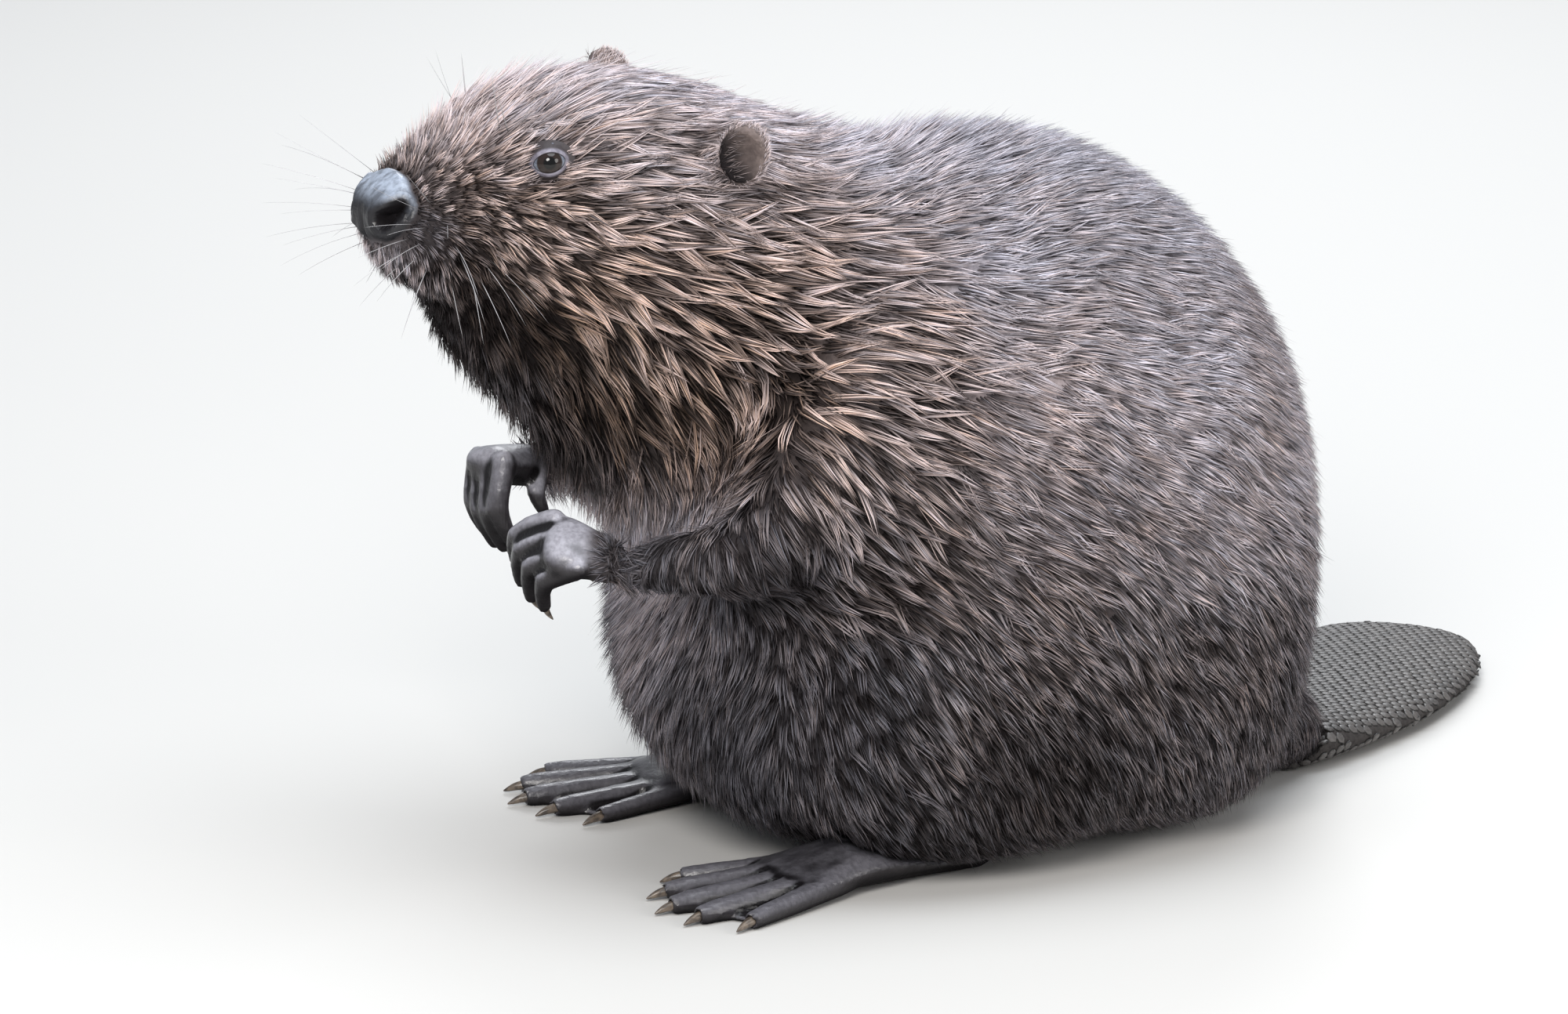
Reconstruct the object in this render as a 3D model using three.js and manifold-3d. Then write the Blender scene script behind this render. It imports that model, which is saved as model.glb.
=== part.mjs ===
// A European beaver, life size, sitting up on its haunches with both hands
// held before its chest. Millimetres, +Z up. The animal faces -X, its left
// side is -Y, and its feet, rump and tail lie on the floor plane z = 0.
//
// Head, neck and trunk are lofts through a few cross-sections; limbs, fingers,
// toes, claws and tail are rounded sweeps along short paths. Neighbours are
// parted by cutting one with the other grown by GAP.

import * as THREE from 'three';
import { mergeVertices } from 'three/addons/utils/BufferGeometryUtils.js';
import Module from 'manifold-3d';

const wasm = await Module();
wasm.setup();

// ---------------------------------------------------------------- dimensions

const GAP = 0.3; // clearance between neighbouring pieces
const RIGHT = 1; // side signs: y is positive on the animal's right
const LEFT = -1;
const SIDES = [[LEFT, 'left'], [RIGHT, 'right']];

const HEAD_TURN = THREE.MathUtils.degToRad(9); // the head looks a little left
const HEAD_ROLL = THREE.MathUtils.degToRad(4.5); // and its left side hangs lower
const HEAD_PIVOT = { x: -45, z: 300 }; // both turns pass through this point
const TURN_START_X = 20; // no turn behind this
const TURN_FULL_X = -60; // the whole turn ahead of this

// Cross-sections across X: [x, top, bottom, half width, level of the width].
const HEAD_SECTIONS = [
  [-212, 316, 314, 1, 315],
  [-209.5, 322, 303, 13, 314],
  [-203, 327, 291, 23, 310],
  [-193, 333, 279, 31, 304],
  [-180, 342, 260, 37, 300],
  [-162, 351, 239, 45, 297.5],
  [-140, 359.5, 216, 55, 297],
  [-114, 366, 191, 65, 293],
  [-88, 366, 160, 71, 284],
  [-58, 359, 126, 74, 268],
  [-28, 347, 108, 78, 250],
  [2, 333, 110, 88, 230],
  [36, 323, 130, 99, 214],
  [70, 300, 160, 78, 212],
  [92, 240, 215, 8, 228],
];
const HEAD_CROWN = 2.15; // superellipse exponents above and below the width
const HEAD_THROAT = 2.0;
const HEAD_RINGS = 20;
const HEAD_SEGMENTS = 20;

const TRUNK_SECTIONS = [
  [-72, 100, 92, 2, 96],
  [-66, 148, 60, 46, 98],
  [-50, 210, 34, 82, 104],
  [-24, 264, 14, 104, 116],
  [10, 304, 3, 120, 124],
  [52, 322, -1.2, 132, 128],
  [98, 322, -1.2, 137, 128],
  [140, 312, -1.2, 134, 126],
  [176, 291, -1.2, 122, 124],
  [205, 263, 4, 102, 126],
  [227, 231, 32, 75, 130],
  [242, 192, 72, 42, 134],
  [248.5, 155, 130, 3, 142],
];
const TRUNK_BACK = 2.05;
const TRUNK_BELLY = 2.7;
const TRUNK_RINGS = 16;
const TRUNK_SEGMENTS = 22;

const NOSE_PAD = { x: -205.5, y: 0, z: 319, rx: 18, ry: 24, rz: 18.5 };

const EYE = { x: -139.7, y: 37.5, z: 339, radius: 8.6 };
const EYE_OPENING = { x: -141, y: 46, z: 342, rx: 8, ry: 6, rz: 6 };

const EAR = { x: -55, y: 62, z: 339, rx: 12, ry: 10.5, rz: 14.5 };
const EAR_DISH = { forward: 8, out: 8, up: 1, rx: 12.5, ry: 11, rz: 12.8 };

// The neck is cut from head and trunk by two leaning planes: a point and tilt.
const HEAD_CUT = { x: -52, z: 300, tilt: 38 };
const NECK_CUT = { x: -2, z: 270, tilt: 38 };

const THIGH = { x: 60, y: 86, z: 87, rx: 113, ry: 55, rz: 82 };

// Limb paths: [x, y out from the middle, z, radius across, radius up].
const UPPER_ARM = [
  [16, 78, 236, 30, 36],
  [-16, 90, 200, 30, 32],
  [-44, 98, 166, 23, 23],
];
const FOREARM = {
  [LEFT]: [[-54, 98, 161, 20, 20], [-75, 84, 158, 18, 17.5], [-97, 65, 152.5, 13, 12]],
  [RIGHT]: [[-53, 90, 168, 20, 20], [-71, 73, 169, 18, 17.5], [-91, 51, 170, 13, 12]],
};
// Hands: wrist, first and last knuckle, and how far each finger joint bends.
const HANDS = {
  [LEFT]: { wrist: [-99, -63.5, 152.5], first: [-126, -37, 170], last: [-124, -62, 153], curl: [46, 62] },
  [RIGHT]: { wrist: [-93, 49, 170], first: [-126, 20, 181], last: [-129, 45, 177], curl: [84, 50] },
};
const FINGERS = [ // place across the knuckles, upper and lower length, radius
  { across: 0.0, upper: 21, lower: 17, radius: 5.3 },
  { across: 0.33, upper: 23, lower: 18, radius: 5.6 },
  { across: 0.67, upper: 22, lower: 18, radius: 5.5 },
  { across: 1.0, upper: 19, lower: 15, radius: 5.1 },
];
const THUMB = {
  along: 0.3, inward: 9, under: 3, bend: 60, spread: 0.35, upper: 12, lower: 9, radius: 4.8,
};
// A digit's girth along it, in shares of its radius.
const DIGIT_GIRTH = { root: 1.05, upper: 0.95, joint: 0.98, lower: 0.86, tip: 0.72 };
const DIGIT_ROOT_DEPTH = 2; // how far a digit starts inside the hand
const WRIST = { wide: 11, tall: 9.5 };
const PALM = { wideShare: 0.8, tall: 10 }; // as a share of half the knuckles' span
const KNUCKLES = { beyond: 2, tall: 8.5 }; // past the outer knuckles
const HAND_CLAW = { length: 10, radius: 2.3, droop: 3 };

// Along a claw's length: where it starts behind the tip, bends and ends.
const CLAW_ALONG = { start: -0.25, bend: 0.35, end: 0.75 };
const CLAW_HOOK = 0.25; // share of the droop at the bend
const CLAW_GIRTH = { bend: 0.8, end: 0.22 }; // shares of the root's radius

// Hind feet lie flat, heel to toe tip along -X, turned out a little.
const FOOT = { heelX: 62, y: 72, splay: 7, length: 150, toeSpan: 74 };
const FOOT_PATH = [
  [0, 0, 13, 14, 14],
  [-38, 0, 14, 17, 14],
  [-72, 0, 11, 23, 10],
  [-96, 0, 8, 27, 7],
];
const TOES = [ // place across the span, how far forward the tip lies, radius
  { across: -0.5, reach: 0.84, radius: 5.2 },
  { across: -0.27, reach: 0.95, radius: 6.0 },
  { across: 0.0, reach: 1.0, radius: 6.6 },
  { across: 0.26, reach: 0.98, radius: 6.6 },
  { across: 0.5, reach: 0.88, radius: 6.0 },
];
const TOE_ROOT = { along: 0.5, spread: 0.45 }; // shares of the foot's length and toe span
const TOE_HEIGHT = { root: 7.5, tip: 4.5 };
const TOE_KNUCKLE = 0.55; // share of the way from root to tip
const TOE_TIP_GIRTH = 0.85;
const WEB = { thickness: 3.6, sunk: 0.5, heel: 0.42, dip: 0.16, curveSteps: 3 };
const FOOT_CLAW = { length: 15, radius: 3.3, droop: 3 };

// Tail: [x, y, z, half width, half thickness] along its middle line.
const TAIL_ROOT_PATH = [
  [190, -4, 50, 42, 44],
  [222, 4, 37, 39, 35],
  [250, 21, 21, 30, 20],
];
const TAIL_PATH = [
  [250, 20, 12.5, 27, 12.8],
  [274, 44, 9.5, 38, 10],
  [305, 80, 8.5, 52, 9],
  [338, 120, 8, 57, 8.4],
  [368, 157, 7, 51, 7.4],
  [388, 182, 6, 37, 6.4],
];

// Facets: around and along each rounded form.
const LIMB_FACETS = [10, 3];
const HAND_FACETS = [9, 2];
const DIGIT_FACETS = [6, 2];
const TOE_FACETS = [6, 1];
const CLAW_FACETS = [5, 2];
const TAIL_ROOT_FACETS = [12, 2];
const TAIL_FACETS = [12, 8];
const EYE_FACETS = { rings: 6, segments: 9 };
const OPENING_FACETS = { rings: 5, segments: 8 };
const EAR_FACETS = { rings: 7, segments: 10 };
const NOSE_FACETS = { rings: 6, segments: 10 };
const THIGH_FACETS = { rings: 8, segments: 13 };

const COLOURS = {
  fur: { color: 0x6b5a4c, roughness: 0.75 },
  bareSkin: { color: 0x3a3a40, roughness: 0.45 },
  noseSkin: { color: 0x4a4c54, roughness: 0.4 },
  tailScale: { color: 0x35322f, roughness: 0.55 },
  eye: { color: 0x0c0b0c, roughness: 0.08 },
  claw: { color: 0x574a3d, roughness: 0.35 },
};

// ------------------------------------------------------------ mesh and solid

// A closed mesh from rows of points: row 0 and the last row are single points.
function gridSolid(rows, segments, pointAt) {
  const positions = [];
  const triangles = [];
  const start = (row) => (row === 0 ? 0 : 1 + (row - 1) * segments);
  for (let row = 0; row <= rows; row++) {
    const count = row === 0 || row === rows ? 1 : segments;
    for (let k = 0; k < count; k++) {
      const p = pointAt(row, (k / segments) * 2 * Math.PI);
      positions.push(p.x, p.y, p.z);
    }
  }
  for (let row = 0; row < rows; row++) {
    for (let k = 0; k < segments; k++) {
      const next = (k + 1) % segments;
      const a = start(row) + (row === 0 ? 0 : k);
      const b = start(row) + (row === 0 ? 0 : next);
      const c = start(row + 1) + (row + 1 === rows ? 0 : next);
      const d = start(row + 1) + (row + 1 === rows ? 0 : k);
      if (row > 0) triangles.push(a, b, c);
      if (row + 1 < rows) triangles.push(a, c, d);
    }
  }
  return solidFrom(new Float32Array(positions), new Uint32Array(triangles));
}

// Six times the volume that the triangles enclose; negative if inside out.
function signedVolume(positions, triangles) {
  const [a, b, c] = [new THREE.Vector3(), new THREE.Vector3(), new THREE.Vector3()];
  let sum = 0;
  for (let i = 0; i < triangles.length; i += 3) {
    a.fromArray(positions, triangles[i] * 3);
    b.fromArray(positions, triangles[i + 1] * 3);
    c.fromArray(positions, triangles[i + 2] * 3);
    sum += a.dot(b.cross(c));
  }
  return sum;
}

function solidFrom(positions, triangles) {
  if (signedVolume(positions, triangles) < 0) {
    for (let i = 0; i < triangles.length; i += 3) {
      [triangles[i], triangles[i + 1]] = [triangles[i + 1], triangles[i]];
    }
  }
  return new wasm.Manifold(new wasm.Mesh({ numProp: 3, vertProperties: positions, triVerts: triangles }));
}

function solidOf(geometry) {
  const bare = geometry.clone();
  bare.deleteAttribute('normal');
  bare.deleteAttribute('uv');
  const merged = mergeVertices(bare, 1e-4);
  return solidFrom(new Float32Array(merged.attributes.position.array), new Uint32Array(merged.index.array));
}

function meshOf(name, solid, look) {
  const { vertProperties, triVerts } = solid.getMesh();
  const geometry = new THREE.BufferGeometry();
  geometry.setAttribute('position', new THREE.BufferAttribute(vertProperties, 3));
  geometry.setIndex(new THREE.BufferAttribute(triVerts, 1));
  geometry.computeVertexNormals();
  const mesh = new THREE.Mesh(geometry, new THREE.MeshStandardMaterial({ ...look, metalness: 0 }));
  mesh.name = name;
  return mesh;
}

function box(low, high) {
  const size = high.clone().sub(low);
  const middle = low.clone().add(high).multiplyScalar(0.5);
  return solidOf(new THREE.BoxGeometry(size.x, size.y, size.z).translate(middle.x, middle.y, middle.z));
}

const FAR = 900;
const belowFloor = box(new THREE.Vector3(-FAR, -FAR, -FAR), new THREE.Vector3(FAR, FAR, 0));

// ------------------------------------------------------------------- shapes

// A value list between stations, read at a fraction 0..1 of the whole list.
function through(stations) {
  const width = stations[0].length;
  const keys = stations.map((_, i) => i / (stations.length - 1));
  const curve = new THREE.CubicInterpolant(keys, stations.flat(), width, new Array(width));
  return (share) => [...curve.evaluate(THREE.MathUtils.clamp(share, 0, 1))];
}

// A power of sine or cosine that keeps its sign: the superellipse's corner.
const roundPower = (value, exponent) => Math.sign(value) * Math.abs(value) ** (2 / exponent);

// A loft across X: each ring is a superellipse between its top and bottom.
function sectionLoft(stations, rings, segments, upper, lower, grow) {
  const at = through(stations);
  return gridSolid(rings, segments, (row, angle) => {
    const [x, top, bottom, half, level] = at(row / rings);
    const onEnd = row === 0 ? -grow : row === rings ? grow : 0;
    if (onEnd !== 0) return new THREE.Vector3(x + onEnd, 0, level);
    const up = Math.sin(angle);
    const exponent = up > 0 ? upper : lower;
    const reach = up > 0 ? top - level + grow : level - bottom + grow;
    return new THREE.Vector3(
      x,
      (half + grow) * roundPower(Math.cos(angle), exponent),
      level + reach * roundPower(up, exponent),
    );
  });
}

// An ellipsoid {x, y, z, rx, ry, rz} with its poles along X.
function ellipsoid(e, grow, { rings, segments }) {
  return gridSolid(rings, segments, (row, angle) => {
    const along = (row / rings) * Math.PI;
    const out = row === 0 || row === rings ? 0 : Math.sin(along);
    return new THREE.Vector3(
      e.x - (e.rx + grow) * Math.cos(along),
      e.y + (e.ry + grow) * out * Math.cos(angle),
      e.z + (e.rz + grow) * out * Math.sin(angle),
    );
  });
}

// A rounded sweep through [x, y, z, radius across, radius up] with round ends.
const SKYWARD = new THREE.Vector3(0, 0, 1);
function sweep(path, [segments, rings], grow = 0, upward = SKYWARD, capRings = 2) {
  const at = through(path);
  const place = (share) => new THREE.Vector3(...at(share).slice(0, 3));
  const step = 1e-3;
  const rows = rings + 2 * capRings;
  return gridSolid(rows, segments, (row, angle) => {
    const inside = THREE.MathUtils.clamp((row - capRings) / rings, 0, 1);
    const beyond = row < capRings ? row / capRings - 1 : Math.max(0, (row - capRings - rings) / capRings);
    const low = Math.max(0, inside - step);
    const high = Math.min(1, inside + step);
    const forward = place(high).sub(place(low)).normalize();
    const across = new THREE.Vector3().crossVectors(upward, forward).normalize();
    const up = new THREE.Vector3().crossVectors(forward, across);
    const [, , , wide, tall] = at(inside);
    const bend = beyond * (Math.PI / 2);
    const shrink = Math.abs(beyond) === 1 ? 0 : Math.cos(bend);
    const reach = (Math.min(wide, tall) + grow) * Math.sin(bend);
    return place(inside)
      .addScaledVector(forward, reach)
      .addScaledVector(across, (wide + grow) * shrink * Math.cos(angle))
      .addScaledVector(up, (tall + grow) * shrink * Math.sin(angle));
  });
}

// Rolls, then turns, what lies ahead of the neck about a point between the ears.
function turnHead(solid) {
  return solid.warp((p) => {
    const share = THREE.MathUtils.smoothstep(-p[0], -TURN_START_X, -TURN_FULL_X);
    const point = new THREE.Vector3(p[0] - HEAD_PIVOT.x, p[1], p[2] - HEAD_PIVOT.z);
    point.applyAxisAngle(new THREE.Vector3(1, 0, 0), HEAD_ROLL * share);
    point.applyAxisAngle(new THREE.Vector3(0, 0, 1), HEAD_TURN * share);
    p[0] = point.x + HEAD_PIVOT.x;
    p[1] = point.y;
    p[2] = point.z + HEAD_PIVOT.z;
  });
}

// Everything ahead of a leaning plane through (x, 0, z).
function aheadOf(cut, shift) {
  const slab = new THREE.BoxGeometry(FAR, FAR, FAR);
  slab.translate(-FAR / 2 + shift, 0, 0);
  slab.rotateY(THREE.MathUtils.degToRad(cut.tilt));
  slab.translate(cut.x, 0, cut.z);
  return solidOf(slab);
}

const mirrored = (e, side) => ({ ...e, y: e.y * side });
const pathOn = (side, path) => path.map(([x, y, ...rest]) => [x, y * side, ...rest]);

// -------------------------------------------------------------------- limbs

const thigh = (side, grow) => ellipsoid(mirrored(THIGH, side), grow, THIGH_FACETS);
const upperArm = (side, grow) => sweep(pathOn(side, UPPER_ARM), LIMB_FACETS, grow);
const forearm = (side, grow) => sweep(pathOn(side, FOREARM[side]), LIMB_FACETS, grow);

// A hand's frame: forward from the wrist, across the knuckles, and the back's normal.
function handFrame(side) {
  const hand = HANDS[side];
  const wrist = new THREE.Vector3(...hand.wrist);
  const first = new THREE.Vector3(...hand.first);
  const last = new THREE.Vector3(...hand.last);
  const middle = first.clone().lerp(last, 0.5);
  const across = last.clone().sub(first);
  const forward = middle.clone().sub(wrist);
  const back = new THREE.Vector3().crossVectors(forward, across).normalize();
  if (back.z < 0) back.negate();
  return { wrist, first, last, middle, across, forward, back, curl: hand.curl };
}

// A direction bent from forward towards the palm by an angle in degrees.
function bentDown(frame, degrees) {
  const angle = THREE.MathUtils.degToRad(degrees);
  const forward = frame.forward.clone().normalize();
  return forward.multiplyScalar(Math.cos(angle)).addScaledVector(frame.back, -Math.sin(angle));
}

// Five digits: each is a root, a joint, a tip and the way its claw points.
function digits(side) {
  const frame = handFrame(side);
  const [bendA, bendB] = frame.curl;
  const upperWay = bentDown(frame, bendA);
  const lowerWay = bentDown(frame, bendA + bendB);
  const inward = frame.across.clone().normalize().negate();
  const thumbRoot = frame.wrist.clone().addScaledVector(frame.forward, THUMB.along);
  thumbRoot.addScaledVector(inward, THUMB.inward).addScaledVector(frame.back, -THUMB.under);
  const thumbWay = bentDown(frame, THUMB.bend).addScaledVector(inward, THUMB.spread).normalize();
  const thumb = { root: thumbRoot, ways: [thumbWay, lowerWay], ...THUMB };
  const fingers = FINGERS.map((finger) => ({
    root: frame.first.clone().lerp(frame.last, finger.across),
    ways: [upperWay, lowerWay],
    ...finger,
  }));
  return [thumb, ...fingers].map((digit) => {
    const joint = digit.root.clone().addScaledVector(digit.ways[0], digit.upper);
    const tip = joint.clone().addScaledVector(digit.ways[1], digit.lower);
    const down = bentDown(frame, bendA + bendB + 90); // the way the claw hooks
    return { ...digit, joint, tip, way: digit.ways[1], down, sideways: inward };
  });
}

const pathPoint = (p, wide, tall) => [p.x, p.y, p.z, wide, tall ?? wide];

function digitSolid(digit) {
  const r = digit.radius;
  const rootIn = digit.root.clone().addScaledVector(digit.ways[0], -DIGIT_ROOT_DEPTH);
  const path = [
    pathPoint(rootIn, r * DIGIT_GIRTH.root),
    pathPoint(digit.root.clone().lerp(digit.joint, 0.5), r * DIGIT_GIRTH.upper),
    pathPoint(digit.joint, r * DIGIT_GIRTH.joint),
    pathPoint(digit.joint.clone().lerp(digit.tip, 0.5), r * DIGIT_GIRTH.lower),
    pathPoint(digit.tip, r * DIGIT_GIRTH.tip),
  ];
  return sweep(path, DIGIT_FACETS, 0, digit.sideways);
}

// A claw: a cone that bends down a little, rooted inside the digit's tip.
function clawSolid({ tip, way, down, sideways }, claw, grow) {
  const along = (share) => tip.clone().addScaledVector(way, claw.length * share);
  const middle = along(CLAW_ALONG.bend).addScaledVector(down, claw.droop * CLAW_HOOK);
  const end = along(CLAW_ALONG.end).addScaledVector(down, claw.droop);
  const path = [
    pathPoint(along(CLAW_ALONG.start), claw.radius),
    pathPoint(middle, claw.radius * CLAW_GIRTH.bend),
    pathPoint(end, claw.radius * CLAW_GIRTH.end),
  ];
  return sweep(path, CLAW_FACETS, grow, sideways, 1);
}

function handSolid(side) {
  const frame = handFrame(side);
  const wide = frame.across.length() / 2;
  const path = [
    pathPoint(frame.wrist, WRIST.wide, WRIST.tall),
    pathPoint(frame.wrist.clone().lerp(frame.middle, 0.5), wide * PALM.wideShare, PALM.tall),
    pathPoint(frame.middle, wide + KNUCKLES.beyond, KNUCKLES.tall),
  ];
  let hand = sweep(path, HAND_FACETS, 0, frame.back);
  for (const digit of digits(side)) hand = hand.add(digitSolid(digit));
  return hand;
}

// ------------------------------------------------------------------- feet

// A point of the hind foot, from its own heel-to-toe frame into the body's.
function onFoot(side, x, y, z) {
  const turn = THREE.MathUtils.degToRad(FOOT.splay) * side;
  return new THREE.Vector3(
    FOOT.heelX + x * Math.cos(turn) + y * Math.sin(turn),
    FOOT.y * side - x * Math.sin(turn) + y * Math.cos(turn),
    z,
  );
}

function toeTips(side) {
  return TOES.map((toe) => {
    const out = toe.across * FOOT.toeSpan * side;
    const root = onFoot(side, -FOOT.length * TOE_ROOT.along, out * TOE_ROOT.spread, TOE_HEIGHT.root);
    const tip = onFoot(side, -FOOT.length * toe.reach, out, TOE_HEIGHT.tip);
    const way = tip.clone().sub(root).setZ(0).normalize();
    const down = new THREE.Vector3(0, 0, -1);
    return { ...toe, root, tip, way, down, sideways: new THREE.Vector3().crossVectors(way, down) };
  });
}

// The web: a thin fan from the middle of the foot, scalloped between the toes.
function webSolid(side, toes) {
  const outline = new THREE.Shape();
  const heelward = onFoot(side, -FOOT.length * WEB.heel, 0, 0);
  outline.moveTo(heelward.x, heelward.y);
  toes.forEach((toe, i) => {
    const tip = toe.tip;
    if (i === 0) {
      outline.lineTo(tip.x, tip.y);
      return;
    }
    const before = toes[i - 1].tip;
    const dip = before.clone().lerp(tip, 0.5).lerp(heelward, WEB.dip);
    outline.quadraticCurveTo(dip.x, dip.y, tip.x, tip.y);
  });
  const web = new THREE.ExtrudeGeometry(outline, {
    depth: WEB.thickness,
    bevelEnabled: false,
    curveSegments: WEB.curveSteps,
  });
  web.translate(0, 0, -WEB.sunk);
  return solidOf(web);
}

function footSolid(side) {
  const path = FOOT_PATH.map(([x, y, z, wide, tall]) => pathPoint(onFoot(side, x, y, z), wide, tall));
  const toes = toeTips(side);
  let foot = sweep(path, LIMB_FACETS).add(webSolid(side, toes));
  for (const toe of toes) {
    const knuckle = toe.root.clone().lerp(toe.tip, TOE_KNUCKLE);
    const toePath = [
      pathPoint(toe.root, toe.radius),
      pathPoint(knuckle.setZ(TOE_HEIGHT.root), toe.radius),
      pathPoint(toe.tip, toe.radius * TOE_TIP_GIRTH),
    ];
    foot = foot.add(sweep(toePath, TOE_FACETS));
  }
  return foot.subtract(belowFloor);
}

// -------------------------------------------------------------- assembling

const beaver = new THREE.Group();
const put = (name, solid, look) => beaver.add(meshOf(name, solid, look));

const headShape = (grow) => turnHead(
  sectionLoft(HEAD_SECTIONS, HEAD_RINGS, HEAD_SEGMENTS, HEAD_CROWN, HEAD_THROAT, grow),
);
const trunkShape = (grow) => sectionLoft(
  TRUNK_SECTIONS, TRUNK_RINGS, TRUNK_SEGMENTS, TRUNK_BACK, TRUNK_BELLY, grow,
);
const tailRootShape = (grow) => sweep(TAIL_ROOT_PATH, TAIL_ROOT_FACETS, grow);
const tailShape = (grow) => sweep(TAIL_PATH, TAIL_FACETS, grow);

function eyeball(side, grow) {
  const ball = { ...mirrored(EYE, side), rx: EYE.radius, ry: EYE.radius, rz: EYE.radius };
  return turnHead(ellipsoid(ball, grow, EYE_FACETS));
}

function earSolid(side) {
  const dish = {
    ...EAR_DISH,
    x: EAR.x - EAR_DISH.forward,
    y: (EAR.y + EAR_DISH.out) * side,
    z: EAR.z + EAR_DISH.up,
  };
  const whole = ellipsoid(mirrored(EAR, side), 0, EAR_FACETS);
  return turnHead(whole.subtract(ellipsoid(dish, 0, OPENING_FACETS)));
}

// Head and neck run on into the trunk as one mass, then leaning cuts part them.
const body = headShape(0).add(trunkShape(0)).subtract(belowFloor);
const bodyGrown = headShape(GAP).add(trunkShape(GAP));

let head = body.intersect(aheadOf(HEAD_CUT, -GAP / 2));
let neck = body.subtract(aheadOf(HEAD_CUT, GAP / 2)).intersect(aheadOf(NECK_CUT, -GAP / 2));
let trunk = body.subtract(aheadOf(NECK_CUT, GAP / 2));

const nosePad = (grow) => turnHead(ellipsoid(NOSE_PAD, grow, NOSE_FACETS));
put('nose', head.intersect(nosePad(0)), COLOURS.noseSkin);
head = head.subtract(nosePad(GAP));

for (const [side, name] of SIDES) {
  put(`eye_${name}`, eyeball(side, 0), COLOURS.eye);
  head = head.subtract(eyeball(side, GAP));
  head = head.subtract(turnHead(ellipsoid(mirrored(EYE_OPENING, side), 0, OPENING_FACETS)));
  put(`ear_${name}`, earSolid(side).subtract(bodyGrown), COLOURS.fur);
}

for (const [side, name] of SIDES) {
  for (const part of [thigh(side, GAP), upperArm(side, GAP)]) {
    trunk = trunk.subtract(part);
    neck = neck.subtract(part);
    head = head.subtract(part);
  }
  put(`thigh_${name}`, thigh(side, 0), COLOURS.fur);
  put(`upper_arm_${name}`, upperArm(side, 0).subtract(thigh(side, GAP)), COLOURS.fur);
  const lowerArm = forearm(side, 0).subtract(upperArm(side, GAP)).subtract(bodyGrown);
  put(`forearm_${name}`, lowerArm, COLOURS.fur);

  let hand = handSolid(side).subtract(forearm(side, GAP));
  digits(side).forEach((digit, i) => {
    hand = hand.subtract(clawSolid(digit, HAND_CLAW, GAP));
    put(`finger_claw_${name}_${i + 1}`, clawSolid(digit, HAND_CLAW, 0), COLOURS.claw);
  });
  put(`hand_${name}`, hand, COLOURS.bareSkin);

  let foot = footSolid(side).subtract(thigh(side, GAP)).subtract(bodyGrown);
  toeTips(side).forEach((toe, i) => {
    foot = foot.subtract(clawSolid(toe, FOOT_CLAW, GAP));
    put(`toe_claw_${name}_${i + 1}`, clawSolid(toe, FOOT_CLAW, 0).subtract(belowFloor), COLOURS.claw);
  });
  put(`foot_${name}`, foot, COLOURS.bareSkin);
}

const tailRoot = tailRootShape(0).subtract(belowFloor);
trunk = trunk.subtract(tailRootShape(GAP)).subtract(tailShape(GAP));
put('head', head, COLOURS.fur);
put('neck', neck, COLOURS.fur);
put('trunk', trunk, COLOURS.fur);
put('tail_root', tailRoot.subtract(thigh(LEFT, GAP)).subtract(thigh(RIGHT, GAP)), COLOURS.fur);
put('tail', tailShape(0).subtract(belowFloor).subtract(tailRootShape(GAP)), COLOURS.tailScale);

// The origin is the middle of the whole footprint, on the floor.
const extent = new THREE.Box3().setFromObject(beaver);
const middle = extent.getCenter(new THREE.Vector3());
beaver.position.set(-middle.x, -middle.y, -extent.min.z);

export default beaver;
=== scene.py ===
"""A wet European beaver sitting up on its haunches: skin, coat, eyes, claws, whiskers."""
import math

import bpy
import numpy as np
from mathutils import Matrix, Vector
from mathutils.bvhtree import BVHTree


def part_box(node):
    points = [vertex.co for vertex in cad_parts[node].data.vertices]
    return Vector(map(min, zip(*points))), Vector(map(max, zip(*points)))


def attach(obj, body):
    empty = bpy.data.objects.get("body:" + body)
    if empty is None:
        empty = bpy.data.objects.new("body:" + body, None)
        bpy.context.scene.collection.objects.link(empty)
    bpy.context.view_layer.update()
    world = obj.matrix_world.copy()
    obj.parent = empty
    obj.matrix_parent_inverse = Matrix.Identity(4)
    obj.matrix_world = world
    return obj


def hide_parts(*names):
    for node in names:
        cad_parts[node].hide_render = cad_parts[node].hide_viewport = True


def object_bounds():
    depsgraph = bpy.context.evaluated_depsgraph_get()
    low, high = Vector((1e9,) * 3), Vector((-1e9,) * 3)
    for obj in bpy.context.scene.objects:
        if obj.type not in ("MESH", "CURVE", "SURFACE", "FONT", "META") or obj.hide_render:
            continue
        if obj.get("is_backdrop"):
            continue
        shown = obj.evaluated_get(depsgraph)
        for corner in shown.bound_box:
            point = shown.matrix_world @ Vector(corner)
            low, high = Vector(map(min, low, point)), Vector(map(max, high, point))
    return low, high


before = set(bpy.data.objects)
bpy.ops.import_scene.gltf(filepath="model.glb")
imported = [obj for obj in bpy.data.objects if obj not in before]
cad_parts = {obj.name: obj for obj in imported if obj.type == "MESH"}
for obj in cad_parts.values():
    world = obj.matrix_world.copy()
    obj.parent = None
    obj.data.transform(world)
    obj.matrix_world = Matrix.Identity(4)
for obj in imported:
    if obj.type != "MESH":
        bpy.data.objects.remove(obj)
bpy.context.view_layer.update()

MM = 0.001
CM2_IN_M2 = 1e4
SIDES = {"left": -1.0, "right": 1.0}
chance = np.random.default_rng(41)


def corner_pair(name):
    """A node's lowest and highest corner as arrays."""
    low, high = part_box(name)
    return np.array(low), np.array(high)


def centre_of(name):
    low, high = corner_pair(name)
    return (low + high) / 2


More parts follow.
